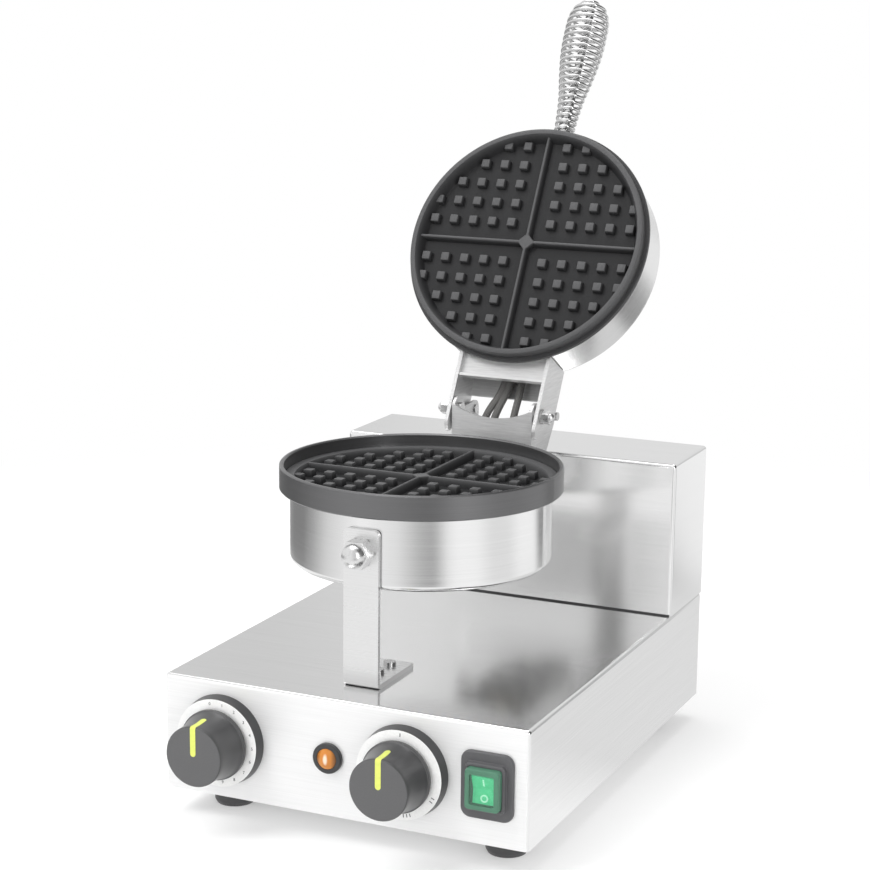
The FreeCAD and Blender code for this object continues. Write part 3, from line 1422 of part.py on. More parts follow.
def upper_leads():
    """Leads from the lid's drum, past the hinge axis and down into the tower's window."""
    wall_y = pan_y.value + lid_drum_r.value - s.lead_inside.value
    level = hinge_z.value + s.lead_rise.value
    half_tower = tower_front.value + s.sheet_gauge.value - hinge_y.value
    fall_y = hinge_y.value + half_tower * LEAD_FALL
    bends = [s.lead_diameter.value * KNEE_BEND, s.lead_diameter.value * HEEL_BEND]
    solids = []
    for x in LEAD_PLACES:
        start = LID_OPEN.multVec(FreeCAD.Vector(x, wall_y, level))
        along = LID_OPEN.Rotation.multVec(FreeCAD.Vector(0, 1, 0))
        knee = start + along * ((fall_y - start.y) / along.y)
        heel = FreeCAD.Vector(x, fall_y, lead_z.value)
        end = FreeCAD.Vector(x, tower_front.value + s.sheet_gauge.value, lead_z.value)
        solids.append(lead([start, knee, heel, end], bends))
    group("upper_leads", solids)


def lower_leads():
    """Straight leads from the terminal block to the lower element's terminals."""
    part = body("lower_leads")
    end = pan_y + terminal_y + s.terminal_diameter / 2 + s.element_gap
    plan = sketch(part, "XZ", -(tower_front + s.sheet_gauge))
    for x in (-s.terminal_spread / 2, s.terminal_spread / 2):
        circle(plan, x, lower_lead_z, s.lead_diameter / 2)
    pad(part, plan, tower_front + s.sheet_gauge - end)


# Handle, drawn along z from the drum's wall outwards


def place_handle(part):
    """Put a piece of the handle on the lid's drum."""
    place_on_lid(part, 0, pan_y - lid_drum_r, handle_z, FORWARD)


def handle_rod():
    """Rod from inside the drum to the coil's tip, with its nut."""
    part = body("handle_rod")
    inside = s.drum_wall + s.fit_gap
    plan = sketch(part, "XY", -inside - s.rod_diameter)
    circle(plan, 0, 0, s.rod_diameter / 2)
    pad(part, plan, s.handle_length + inside + s.rod_diameter - s.wire_diameter)
    plan = sketch(part, "XY", -inside)
    hexagon(plan, 0, 0, s.rod_nut)
    pad(part, plan, s.rod_nut_height, reverse=True)
    place_handle(part)


def handle_ferrule():
    """Hexagon ferrule at the drum, with the spigot that carries the coil."""
    part = body("handle_ferrule")
    bore = s.rod_diameter / 2 + s.seat_gap
    spigot = s.handle_root / 2 - s.wire_diameter - s.element_gap
    plan = sketch(part, "XY", s.element_gap)
    hexagon(plan, 0, 0, s.ferrule_width)
    circle(plan, 0, 0, bore)
    pad(part, plan, s.ferrule_height)
    plan = sketch(part, "XY", s.element_gap)
    circle(plan, 0, 0, spigot)
    circle(plan, 0, 0, bore)
    pad(part, plan, s.ferrule_height + s.spigot_length)
    place_handle(part)


def coil_radius(share):
    """Radius of the coil's wire line at a share of the handle's length."""
    slim = (s.handle_root.value - s.wire_diameter.value) / 2
    wide = (s.handle_bulge.value - s.wire_diameter.value) / 2
    tip = (s.rod_diameter.value + s.wire_diameter.value) / 2 + s.element_gap.value
    if share < COIL_BULGE_AT:
        growth = (share / COIL_BULGE_AT) ** COIL_SWELL
        return slim + (wide - slim) * (1 - math.cos(math.pi * growth)) / 2
    if share < COIL_CLOSE_AT:
        return wide
    fall = (share - COIL_CLOSE_AT) / (1 - COIL_CLOSE_AT)
    return max(tip, wide * math.sqrt(max(0.0, 1 - fall * fall)))


def handle_coil():
    """Open coil of wire that swells towards the tip and closes on the rod."""
    wire = s.wire_diameter.value / 2
    length = s.handle_length.value
    first = s.ferrule_height.value + s.element_gap.value * 2 + wire
    count = int(COIL_SIDES_PER_TURN * round(s.handle_turns.value))
    points = []
    for index in range(count + 1):
        z = first + (length - wire - first) * index / count
        angle = 2 * math.pi * index / COIL_SIDES_PER_TURN
        radius = coil_radius(z / length)
        points.append(FreeCAD.Vector(radius * math.cos(angle), radius * math.sin(angle), z))
    along = (points[1] - points[0]).normalize()
    outward = FreeCAD.Vector(1, 0, 0)
    outward = (outward - along * outward.dot(along)).normalize()
    across = along.cross(outward)
    section = []
    for index in range(7):
        angle = math.pi * index / 3
        section.append(points[0] + outward * (wire * math.cos(angle)) + across * (wire * math.sin(angle)))
    path = Part.makePolygon(points)
    coil = path.makePipeShell([Part.makePolygon(section)], True, False, 1)
    place_handle(group("handle_coil", [coil]))


base_housing()
bottom_plate()
bottom_plate_screws()
feet()
foot_screws()
tower_shell()
tower_rear_panel()
tower_screws()
cable_gland()
terminal_block()
controls()
pilot_lamp()
switch_bezel()
switch_boot()
switch_body()
switch_rocker()
lower_drum()
lower_plate()
lower_rim()
upper_drum()
upper_plate()
heaters()
front_strap()
front_strap_screws()
front_strap_stud()
lower_hinge_bracket()
lower_bracket_screws()
hinge()
upper_hinge_bracket()
upper_leads()
lower_leads()
handle_rod()
handle_ferrule()
handle_coil()

doc.recompute()

# A feature that failed, an empty piece or a cut that adds metal stops the build
for item in doc.Objects:
    if "Invalid" in item.State or "Error" in item.State:
        raise RuntimeError("feature failed: " + item.Name)
    if item.TypeId in ("PartDesign::Pocket", "PartDesign::Groove"):
        if item.Shape.Volume >= item.BaseFeature.Shape.Volume - 1e-6:
            raise RuntimeError("cut removes nothing: " + item.Name)
os.makedirs("parts", exist_ok=True)
for piece in pieces:
    if piece.Shape.isNull() or not piece.Shape.isValid():
        raise RuntimeError("bad shape: " + piece.Label)
    piece.Shape.exportStep("parts/%s.step" % piece.Label)
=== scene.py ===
"""Round waffle maker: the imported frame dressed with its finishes, small pieces, light and camera."""
import json
import logging
import math
from dataclasses import dataclass, field
from enum import Enum
from typing import ClassVar

import bmesh
import bpy
from mathutils import Matrix, Vector


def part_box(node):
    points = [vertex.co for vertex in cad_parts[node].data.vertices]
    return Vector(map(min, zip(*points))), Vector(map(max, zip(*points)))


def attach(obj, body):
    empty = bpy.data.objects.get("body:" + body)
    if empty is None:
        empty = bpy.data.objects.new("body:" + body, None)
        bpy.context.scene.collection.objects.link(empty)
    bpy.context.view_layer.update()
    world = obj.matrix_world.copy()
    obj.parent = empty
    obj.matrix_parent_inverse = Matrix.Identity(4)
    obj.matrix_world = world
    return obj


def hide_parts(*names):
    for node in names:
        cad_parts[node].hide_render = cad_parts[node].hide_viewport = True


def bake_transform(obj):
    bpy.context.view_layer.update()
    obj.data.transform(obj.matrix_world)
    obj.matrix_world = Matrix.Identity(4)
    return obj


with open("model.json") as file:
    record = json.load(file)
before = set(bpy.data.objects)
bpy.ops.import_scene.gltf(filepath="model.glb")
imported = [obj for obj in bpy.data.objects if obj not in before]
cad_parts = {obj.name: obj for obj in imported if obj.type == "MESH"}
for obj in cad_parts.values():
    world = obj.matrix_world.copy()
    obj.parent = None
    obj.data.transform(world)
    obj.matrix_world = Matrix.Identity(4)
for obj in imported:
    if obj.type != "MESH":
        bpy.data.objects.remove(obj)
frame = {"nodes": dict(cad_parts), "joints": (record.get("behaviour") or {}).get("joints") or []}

LOG = logging.getLogger("waffle_maker")
MM = 0.001
SHARP_DEGREES = 32.0
WELD = 1e-6
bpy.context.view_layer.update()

Colour = tuple[float, float, float, float]
Inputs = dict[int | str, object]
Mesh = bpy.types.Mesh
Node = bpy.types.Node
Point = tuple[float, float]
Socket = bpy.types.NodeSocket
Source = Node | Socket
Spot = tuple[float, float, float]
Stops = list[tuple[float, Colour]]
Tree = bpy.types.NodeTree
WHITE: Colour = (1.0, 1.0, 1.0, 1.0)

# Node types that are used often
COORDINATES = "ShaderNodeTexCoord"
EMISSION = "ShaderNodeEmission"
MAP_RANGE = "ShaderNodeMapRange"
MAPPING = "ShaderNodeMapping"
MATH = "ShaderNodeMath"
MIX = "ShaderNodeMix"
MIX_SHADER = "ShaderNodeMixShader"
NOISE = "ShaderNodeTexNoise"
RAMP = "ShaderNodeValToRGB"
SEPARATE = "ShaderNodeSeparateXYZ"
VECTOR_MATH = "ShaderNodeVectorMath"
# Places of the two colours among the inputs of a mix node
COLOUR_A = 6
COLOUR_B = 7


# Nodes and colours


def linear(code: str) -> Colour:
    """Turn an sRGB hex colour into a linear one.

    Args:
        code: six hex digits after a hash.

    Returns:
        Red, green, blue and an alpha of 1.
    """
    parts = [int(code[index:index + 2], 16) / 255 for index in (1, 3, 5)]
    light = [part / 12.92 if part <= 0.04045 else ((part + 0.055) / 1.055) ** 2.4 for part in parts]
    return light[0], light[1], light[2], 1.0


def dimmed(code: str, share: float) -> Colour:
    """The linear colour of a hex code, darkened by a share."""
    red, green, blue, alpha = linear(code)
    return red * (1 - share), green * (1 - share), blue * (1 - share), alpha


def set_inputs(tree: Tree, node: Node, inputs: Inputs) -> None:
    """Set inputs of a node.

    Args:
        tree: the node's tree.
        node: the node.
        inputs: what each input gets, by its name or place: a value, an output socket, or a node,
            which stands for its first output in use.
    """
    for key, value in inputs.items():
        if isinstance(value, Node):
            value = next(socket for socket in value.outputs if socket.enabled)
        if isinstance(value, Socket):
            tree.links.new(value, node.inputs[key])
        else:
            node.inputs[key].default_value = value


def add_node(tree: Tree, kind: str, inputs: Inputs | None = None, stops: Stops | None = None,
             **settings: object) -> Node:
    """Add a node with its settings, values and links.

    Args:
        tree: the tree that gets the node.
        kind: the node's type name.
        inputs: what its inputs get, as in set_inputs.
        stops: place and colour of each stop of a colour ramp, in rising order.
        settings: properties of the node itself.

    Returns:
        The new node.
    """
    node = tree.nodes.new(kind)
    for name, value in settings.items():
        setattr(node, name, value)
    for index, (place, colour) in enumerate(stops or []):
        ends = node.color_ramp.elements
        stop = ends[index] if index < 2 else ends.new(place)
        stop.position = place
        stop.color = colour
    set_inputs(tree, node, inputs or {})
    return node


# Meshes and pieces


def new_piece(name: str, mesh: Mesh, finish: "Finish", body: str | None,
              replaced: tuple[str, ...] = (), place: Matrix | None = None,
              smooth: bool = True) -> bpy.types.Object:
    """Link a finished mesh as a piece that rides on a body.

    Args:
        name: the piece's name.
        mesh: its mesh.
        finish: its finish.
        body: the body that it moves with, or None to leave it on no body.
        replaced: nodes that it stands for.
        place: where the mesh goes, unless it is in place already.
        smooth: whether its faces are shaded smooth up to sharp edges.

    Returns:
        The piece's object.
    """
    if place is not None:
        mesh.transform(place)
    mesh.materials.clear()
    mesh.materials.append(finish.material())
    if smooth:
        mesh.shade_smooth()
        mesh.set_sharp_from_angle(angle=math.radians(SHARP_DEGREES))
    piece = bpy.data.objects.new(name, mesh)
    bpy.context.scene.collection.objects.link(piece)
    if body:
        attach(piece, body)
    if replaced:
        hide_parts(*replaced)
    LOG.info("piece %s: %d faces on %s", name, len(mesh.polygons), body)
    return piece


def mesh_from(build: bmesh.types.BMesh, name: str) -> Mesh:
    """Close a bmesh with its normals outwards and turn it into a mesh.

    Args:
        build: the bmesh, which is freed.
        name: the mesh's name.

    Returns:
        The mesh.
    """
    bmesh.ops.remove_doubles(build, verts=build.verts, dist=WELD)
    bmesh.ops.recalc_face_normals(build, faces=build.faces)
    mesh = bpy.data.meshes.new(name)
    build.to_mesh(mesh)
    build.free()
    return mesh


def evaluated(holder: bpy.types.Object) -> Mesh:
    """Turn a holder with its curve or modifier into a plain mesh, and drop the holder.

    Args:
        holder: an object that is in no collection yet.

    Returns:
        The plain mesh.
    """
    bpy.context.scene.collection.objects.link(holder)
    depsgraph = bpy.context.evaluated_depsgraph_get()
    mesh = bpy.data.meshes.new_from_object(holder.evaluated_get(depsgraph))
    holder.modifiers.clear()
    bpy.data.objects.remove(holder)
    return mesh


def joined(meshes: list[Mesh], name: str) -> Mesh:
    """Join plain meshes into one.

    Args:
        meshes: the meshes.
        name: the new mesh's name.

    Returns:
        The joined mesh.
    """
    build = bmesh.new()
    for mesh in meshes:
        build.from_mesh(mesh)
    result = bpy.data.meshes.new(name)
    build.to_mesh(result)
    build.free()
    return result


def turned(profile: list[Point], steps: int, name: str) -> Mesh:
    """Turn a closed or axis-to-axis profile about Z.

    Args:
        profile: radius and height pairs, in millimetres.
        steps: sides round the axis.
        name: the mesh's name.

    Returns:
        A closed mesh about the origin.
    """
    build = bmesh.new()
    angles = [math.tau * step / steps for step in range(steps)]
    rings = []
    for radius, height in profile:
        places = [(0.0, 0.0, height)]
        if radius:
            places = [(radius * math.cos(a), radius * math.sin(a), height) for a in angles]
        rings.append([build.verts.new(Vector(place) * MM) for place in places])
    pairs = list(zip(rings, rings[1:]))
    if len(rings[0]) > 1:
        pairs.append((rings[-1], rings[0]))
    for low, high in pairs:
        for step in range(steps):
            after = (step + 1) % steps
            corners = [ring[place % len(ring)] for ring, place in
                       ((low, step), (low, after), (high, after), (high, step))]
            face = list(dict.fromkeys(corners))
            if len(face) > 2:
                build.faces.new(face)
    return mesh_from(build, name)


def arc_points(centre: Point, radius: float, start: float, end: float, steps: int) -> list[Point]:
    """Points of a round corner in a profile; angles in degrees."""
    angles = [math.radians(start + (end - start) * step / steps) for step in range(steps + 1)]
    return [(centre[0] + radius * math.cos(a), centre[1] + radius * math.sin(a)) for a in angles]


def prism(outline: list[Point], low: float, high: float, name: str) -> Mesh:
    """Closed bar with the outline in X and Z, running along Y; millimetres.

    Args:
        outline: corners, in order.
        low: start along Y.
        high: end along Y.
        name: the mesh's name.

    Returns:
        The bar's mesh.
    """
    return lofted([[(x, y, z) for x, z in outline] for y in (low, high)], True, name)


def stacked_loops(size: Point, corner: float, levels: list[Point], steps: int = 6) -> list[list[Spot]]:
    """Corner-rounded rectangles above each other, for lofting.

    Args:
        size: width and height.
        corner: radius of the corners.
        levels: how much each loop is wider than the size, and its level.
        steps: segments of each corner.

    Returns:
        One loop of points for each level.
    """
    loops = []
    for more, level in levels:
        loop = []
        for turn, (x, y) in enumerate(((1, 1), (-1, 1), (-1, -1), (1, -1))):
            centre = (x * ((size[0] + more) / 2 - corner), y * ((size[1] + more) / 2 - corner))
            loop += [(a, b, level) for a, b in arc_points(centre, corner, 90 * turn, 90 * turn + 90, steps)]
        loops.append(loop)
    return loops


def lofted(loops: list[list[Spot]], capped: bool, name: str) -> Mesh:
    """Skin a row of loops, in millimetres.

    Args:
        loops: loops of equally many points.
        capped: whether the first and last loop are closed; otherwise they are joined into a frame.
        name: the mesh's name.

    Returns:
        The closed mesh.
    """
    build = bmesh.new()
    rings = [[build.verts.new(Vector(spot) * MM) for spot in loop] for loop in loops]
    pairs = list(zip(rings, rings[1:]))
    if capped:
        build.faces.new(rings[0])
        build.faces.new(rings[-1])
    else:
        pairs.append((rings[-1], rings[0]))
    for low, high in pairs:
        for place in range(len(low)):
            build.faces.new((low[place - 1], low[place], high[place], high[place - 1]))
    return mesh_from(build, name)


def apply_tree(mesh: Mesh, tree: Tree, values: dict) -> Mesh:
    """Run a geometry tree on a mesh and keep the plain result.

    Args:
        mesh: what the tree starts from.
        tree: the geometry tree.
        values: value of each named input.

    Returns:
        The result as a plain mesh.
    """
    holder = bpy.data.objects.new(tree.name + "_holder", mesh)
    modifier = holder.modifiers.new(tree.name, "NODES")
    modifier.node_group = tree
    for item in tree.interface.items_tree:
        if item.item_type == "SOCKET" and item.in_out == "INPUT" and item.name in values:
            modifier[item.identifier] = values[item.name]
    return evaluated(holder)


def new_tree(name: str, floats: tuple[str, ...], integers: tuple[str, ...] = ()) -> tuple[Tree, Node]:
    """Start a geometry tree with named inputs.

    Args:
        name: the tree's name.
        floats: names of its lengths and other numbers.
        integers: names of its counts.

    Returns:
        The tree and its input node, which also gives the geometry and the material.
    """
    tree = bpy.data.node_groups.new(name, "GeometryNodeTree")
    sockets = [("Geometry", "Geometry")] + [(label, "Float") for label in floats]
    sockets += [(label, "Int") for label in integers] + [("Material", "Material")]
    for label, kind in sockets:
        tree.interface.new_socket(label, in_out="INPUT", socket_type="NodeSocket" + kind)
    tree.interface.new_socket("Geometry", in_out="OUTPUT", socket_type="NodeSocketGeometry")
    return tree, add_node(tree, "NodeGroupInput")


def end_tree(tree: Tree, shape: Node, given: Node) -> Tree:
    """Close a geometry tree with realized instances and the given material.

    Args:
        tree: the geometry tree.
        shape: the node that gives the shape.
        given: the tree's input node.

    Returns:
        The same tree.
    """
    real = add_node(tree, "GeometryNodeRealizeInstances", {0: shape})
    dressed = add_node(tree, "GeometryNodeSetMaterial", {0: real, "Material": given.outputs["Material"]})
    add_node(tree, "NodeGroupOutput", {0: dressed})
    return tree


# Finishes


class Grain(Enum):
    """How a sheet was brushed."""

    ACROSS = "from side to side, and front to rear on the sides"
    ROUND_UPRIGHT = "in rings about an upright axis"
    ROUND_LID = "in rings about the open lid's axis"


def facing(tree: Tree, axis: str) -> Socket:
    """How far a face looks along X, Y or Z, from -1 to 1."""
    normal = add_node(tree, "ShaderNodeNewGeometry").outputs["Normal"]
    return add_node(tree, SEPARATE, {0: normal}).outputs[axis]


def facing_user(tree: Tree, limit: float = 0.8) -> Node:
    """1 on faces that look towards the user, 0 elsewhere."""
    return add_node(tree, MATH, {0: facing(tree, "Y"), 1: -limit}, operation="LESS_THAN")


def facing_sideways(tree: Tree, limit: float = 0.7) -> Node:
    """1 on faces that look to the left or right, 0 elsewhere."""
    size = add_node(tree, MATH, {0: facing(tree, "X")}, operation="ABSOLUTE")
    return add_node(tree, MATH, {0: size, 1: limit}, operation="GREATER_THAN")


@dataclass(frozen=True)
class Finish:
    """A surface finish: its material's name, the plain values of its shader and the size of its mottling."""

    name: str
    colour: str
    metallic: float = 0.0
    roughness: float = 0.5
    spot_mm: float = 2.0
    shade: float = 0.10
    bump: float = 0.05
    gloss_swing: float = 0.05
    noise_range: ClassVar[Point] = (0.3, 0.7)
    smoothest: ClassVar[float] = 0.02

    def material(self) -> bpy.types.Material:
        """Return the finish's material, made on first use."""
        return bpy.data.materials.get(self.name) or self.build()

    def build(self) -> bpy.types.Material:
        """Make the material with its plain values, then its pattern.

        Returns:
            The new material.
        """
        material = bpy.data.materials.new(self.name)
        material.use_nodes = True
        tree = material.node_tree
        shader = tree.nodes["Principled BSDF"]
        set_inputs(tree, shader, {
            "Base Color": linear(self.colour), "Metallic": self.metallic, "Roughness": self.roughness})
        self.pattern(tree, shader)
        return material

    def pattern(self, tree: Tree, shader: Node) -> None:
        """Draw the finish's detail; the plain one has fine mottling."""
        self.mottle(tree, shader)

    def spots(self, tree: Tree, detail: float = 4.0) -> Node:
        """Soft spots of the finish's size."""
        where = add_node(tree, COORDINATES).outputs["Object"]
        return add_node(tree, NOISE, {"Vector": where, "Scale": 1 / (self.spot_mm * MM), "Detail": detail})

    def tones(self, tree: Tree, share: Source) -> Node:
        """The colour, and a darker shade of it where the pattern is low."""
        low, high = self.noise_range
        return add_node(tree, RAMP, {"Fac": share}, [
            (low, dimmed(self.colour, self.shade)), (high, linear(self.colour))])

    def gloss(self, tree: Tree, share: Source) -> Node:
        """Roughness that swings about its mean with the pattern."""
        low, high = self.noise_range
        return add_node(tree, MAP_RANGE, {
            "Value": share, "From Min": low, "From Max": high,
            "To Min": max(self.roughness - self.gloss_swing, self.smoothest),
            "To Max": self.roughness + self.gloss_swing})

    def relief(self, tree: Tree, height: Source, depth_mm: float) -> Node:
        """Bent normals, as if the pattern stood out of the surface."""
        return add_node(tree, "ShaderNodeBump", {
            "Height": height, "Strength": self.bump, "Distance": depth_mm * MM})

    def mottle(self, tree: Tree, shader: Node) -> None:
        """Vary colour, gloss and height with soft spots."""
        spots = self.spots(tree)
        set_inputs(tree, shader, {
            "Base Color": self.tones(tree, spots), "Roughness": self.gloss(tree, spots),
            "Normal": self.relief(tree, spots, self.spot_mm / 5)})


@dataclass(frozen=True)
class BrushedSteel(Finish):
    """Stainless sheet, belt-brushed: fine long streaks that blur what it mirrors along one way.

    A front may be finished by itself: one that scatters more light looks whiter than the other sides.
    """

    shade: float = 0.06
    bump: float = 0.6
    gloss_swing: float = 0.04
    grain: Grain = Grain.ACROSS
    streak_mm: float = 0.7
    length_mm: float = 70.0
    relief_mm: float = 0.02
    front_metal: float | None = None
    front_roughness: float = 0.4

    def streaks(self, tree: Tree, long_axes: str) -> Node:
        """Noise stretched along some axes of the sheet.

        Args:
            tree: the material's tree.
            long_axes: letters of the axes along which the streaks run.

        Returns:
            The noise.
        """
        lengths = [self.length_mm if axis in long_axes else self.streak_mm for axis in "XYZ"]
        leaning = math.radians(LidPose.open_angle) if self.grain is Grain.ROUND_LID else 0.0
        where = add_node(tree, COORDINATES).outputs["Object"]
        turn = add_node(tree, MAPPING, {"Vector": where, "Rotation": (leaning, 0, 0)})
        scale = [1 / (length * MM) for length in lengths]
        stretch = add_node(tree, MAPPING, {"Vector": turn, "Scale": scale})
        return add_node(tree, NOISE, {"Vector": stretch, "Scale": 1.0, "Detail": 3.0, "Roughness": 0.6})

    def height(self, tree: Tree) -> Node:
        """Streaks across the front and top and front to rear on the sides, or rings on a drum.

        Args:
            tree: the material's tree.

        Returns:
            The height of the streaks.
        """
        if self.grain is not Grain.ACROSS:
            return self.streaks(tree, "XY")
        return add_node(tree, MIX, {
            "Factor": facing_sideways(tree), "A": self.streaks(tree, "X"), "B": self.streaks(tree, "Y")})

    def pattern(self, tree: Tree, shader: Node) -> None:
        """Colour, gloss and relief that follow the streaks.

        Args:
            tree: the material's tree.
            shader: the material's main shader.
        """
        height = self.height(tree)
        gloss, metal = self.gloss(tree, height), self.metallic
        if self.front_metal is not None:
            front = facing_user(tree)
            gloss = add_node(tree, MIX, {"Factor": front, "A": gloss, "B": self.front_roughness})
            metal = add_node(tree, MIX, {"Factor": front, "A": self.metallic, "B": self.front_metal})
        set_inputs(tree, shader, {
            "Base Color": self.tones(tree, height), "Metallic": metal, "Roughness": gloss,
            "Normal": self.relief(tree, height, self.relief_mm)})


@dataclass(frozen=True)
class CoatedIron(Finish):
    """Cast grid plate with a baked dark coat: sandy grain, and paler crests and rim edge, partly wear and
    partly painted light.
    """

    spot_mm: float = 0.8
    shade: float = 0.22
    bump: float = 0.18
    shine: float = 0.25
    # Paler colour of the crests and rim edge: partly wear, partly painted light.
    worn_and_lit: str = "#525253"
    worn_and_lit_falloff: float = 3.0

    def pattern(self, tree: Tree, shader: Node) -> None:
        """Casting grain, crests painted paler for wear and painted light, and the weak reflections of a coat
        with little gloss.

        Args:
            tree: the material's tree.
            shader: the material's main shader.
        """
        self.mottle(tree, shader)
        grain = shader.inputs["Base Color"].links[0].from_socket
        crest = add_node(tree, "ShaderNodeAttribute", attribute_name=GridPlate.crest).outputs["Fac"]
        high = add_node(tree, MATH, {0: crest, 1: self.worn_and_lit_falloff}, operation="POWER")
        colour = add_node(tree, MIX, {"Factor": high, COLOUR_A: grain, COLOUR_B: linear(self.worn_and_lit)},
                          data_type="RGBA")
        set_inputs(tree, shader, {"Base Color": colour, "Specular IOR Level": self.shine})


@dataclass(frozen=True)
class LitFrontShadedSides(Finish):
    """One material with painted light and shade: its front painted lighter, its sides painted darker; a dial
    or a knob.
    """

    spot_mm: float = 1.2
    shade: float = 0.06
    # Painted shade and reflection: the colour of the sides.
    edge: str = "#3a3a3b"

    def pattern(self, tree: Tree, shader: Node) -> None:
        """Painted light where the piece faces the user, painted shade round it.

        Args:
            tree: the material's tree.
            shader: the material's main shader.
        """
        front = self.tones(tree, self.spots(tree, detail=3.0))
        colour = add_node(tree, MIX, {
            "Factor": facing_user(tree), COLOUR_A: linear(self.edge), COLOUR_B: front}, data_type="RGBA")
        set_inputs(tree, shader, {"Base Color": colour})


@dataclass(frozen=True)
class ClearPlastic(Finish):
    """See-through or glowing moulding: light goes through it, or painted light comes out of it, with a faint
    haze.
    """

    spot_mm: float = 3.0
    shade: float = 0.06
    bump: float = 0.03
    ior: float = 1.45
    clarity: float = 1.0
    # Painted light: how strongly the moulding glows.
    glow: float = 0.0

    def pattern(self, tree: Tree, shader: Node) -> None:
        """Let light through, with a slight unevenness of the surface.

        Args:
            tree: the material's tree.
            shader: the material's main shader.
        """
        self.mottle(tree, shader)
        set_inputs(tree, shader, {"Transmission Weight": self.clarity, "IOR": self.ior})
        if self.glow:
            set_inputs(tree, shader, {"Emission Color": linear(self.colour), "Emission Strength": self.glow})


@dataclass(frozen=True)
class PilotLens(ClearPlastic):
    """Amber lens of a neon lamp: painted pale over the two rods as their glow and a reflection, painted brown
    towards its rim as shade.
    """

    core_mm: Point = (1.5, 3.4)
    rim_reach: float = 4.0
    # Painted glow and reflection over the rods.
    core: str = "#fff0da"
    # Painted shade towards the rim.
    rim: str = "#7d532f"

    def pattern(self, tree: Tree, shader: Node) -> None:
        """Painted glow and reflection at the upright core and painted shade towards the rim, by the distance
        from the core.

        Args:
            tree: the material's tree.
            shader: the material's main shader.
        """
        super().pattern(tree, shader)
        low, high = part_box("lamp_lens")
        wide, tall = (1 / (size * MM) for size in self.core_mm)
        where = add_node(tree, COORDINATES).outputs["Object"]
        off = add_node(tree, VECTOR_MATH, {0: where, 1: (low + high) / 2}, operation="SUBTRACT")
        scaled = add_node(tree, VECTOR_MATH, {0: off, 1: (wide, 0, tall)}, operation="MULTIPLY")
        reach = add_node(tree, VECTOR_MATH, {0: scaled}, operation="LENGTH")
        share = add_node(tree, MATH, {0: reach, 1: self.rim_reach}, operation="DIVIDE")
        core, amber, rim = (linear(code) for code in (self.core, self.colour, self.rim))
        colour = add_node(tree, RAMP, {"Fac": share}, [
            (0.0, core), (0.15, core), (0.3, amber), (0.6, amber), (1.0, rim)])
        set_inputs(tree, shader, {"Base Color": colour})


@dataclass(frozen=True)
class Braid(Finish):
    """Woven glass-fibre sleeve: fine crossing threads with a dull shine."""

    shade: float = 0.6
    bump: float = 0.5
    thread_mm: float = 0.7
    # The wave's own length is short, so this lets a thread and its gap take up two thread widths.
    wave_stretch: float = 6.28
    slant: float = 0.7
    relief_mm: float = 0.2

    def threads(self, tree: Tree, slant: float) -> Socket:
        """One set of parallel threads, drawn coarser than real ones so that they show.

        Args:
            tree: the material's tree.
            slant: their turn, in radians.

        Returns:
            The height of the threads.
        """
        where = add_node(tree, COORDINATES).outputs["Object"]
        turn = add_node(tree, MAPPING, {"Vector": where, "Rotation": (0, slant, 0)})
        return add_node(tree, "ShaderNodeTexWave", {
            "Vector": turn, "Scale": 1 / (self.thread_mm * MM * self.wave_stretch)},
            bands_direction="X").outputs["Fac"]

    def pattern(self, tree: Tree, shader: Node) -> None:
        """Two sets of threads that slant against each other.

        Args:
            tree: the material's tree.
            shader: the material's main shader.
        """
        sets = [self.threads(tree, slant) for slant in (self.slant, -self.slant)]
        weave = add_node(tree, MATH, {0: sets[0], 1: sets[1]}, operation="MAXIMUM")
        colour = add_node(tree, RAMP, {"Fac": weave}, [
            (0.0, dimmed(self.colour, self.shade)), (1.0, linear(self.colour))])
        set_inputs(tree, shader, {"Base Color": colour, "Normal": self.relief(tree, weave, self.relief_mm)})


# Brushed sheet mirrors in streaks. The base and the tower are ground finer, so they mirror more clearly,
# and the strap coarser, so it blurs what it mirrors.
SHEET = BrushedSteel("brushed_stainless_sheet", "#e3e3e3", 1.0, 0.22)
BASE_SHEET = BrushedSteel("brushed_stainless_base", "#f2f2f2", 1.0, 0.13, front_metal=0.45)
TOWER_SHEET = BrushedSteel(
    "brushed_stainless_tower", "#f2f2f2", 1.0, 0.16, front_metal=0.8, front_roughness=0.12)
STRAP = BrushedSteel("brushed_stainless_strap", "#eeeeee", 1.0, 0.30)
# Drums and the ring were brushed while they turned, so their highlights stand upright; a coat greys the ring.
ROUND_STREAKS = {"streak_mm": 0.5, "length_mm": 160.0}
DRUM = BrushedSteel(
    "brushed_stainless_drum", "#f2f2f2", 1.0, 0.16, grain=Grain.ROUND_UPRIGHT, relief_mm=0.05,
    **ROUND_STREAKS)
LID_DRUM = BrushedSteel(
    "brushed_stainless_lid_drum", "#e4e4e4", 1.0, 0.18, grain=Grain.ROUND_LID, relief_mm=0.05,
    **ROUND_STREAKS)
RING = BrushedSteel(
    "turned_coated_ring", "#787879", 0.85, 0.32, shade=0.12, grain=Grain.ROUND_UPRIGHT, **ROUND_STREAKS)
# Blasted brackets look frosted: short faint streaks and hardly a mirror image.
BRACKET = BrushedSteel(
    "blasted_stainless_bracket", "#e8e8e8", 0.65, 0.42, shade=0.16, streak_mm=1.2, length_mm=14.0)
# Chrome mirrors sharply, nickel softly, zinc with a grey veil; heat has browned the elements.
CHROME = Finish("bright_chrome", "#dedede", 1.0, 0.10)
NICKEL = Finish("satin_nickel", "#ececec", 1.0, 0.30)
ZINC = Finish("zinc_plated_steel", "#c8c8c8", 1.0, 0.26)
DARK_STEEL = Finish("heat_darkened_steel", "#5c5550", 1.0, 0.45)
# The baked coat hides the iron's shine: sandy and nearly black, and grey on the crests and the rim's outer
# edge, partly wear and partly painted light.
IRON = CoatedIron("coated_cast_iron", "#2a2a2b", 0.0, 0.38)
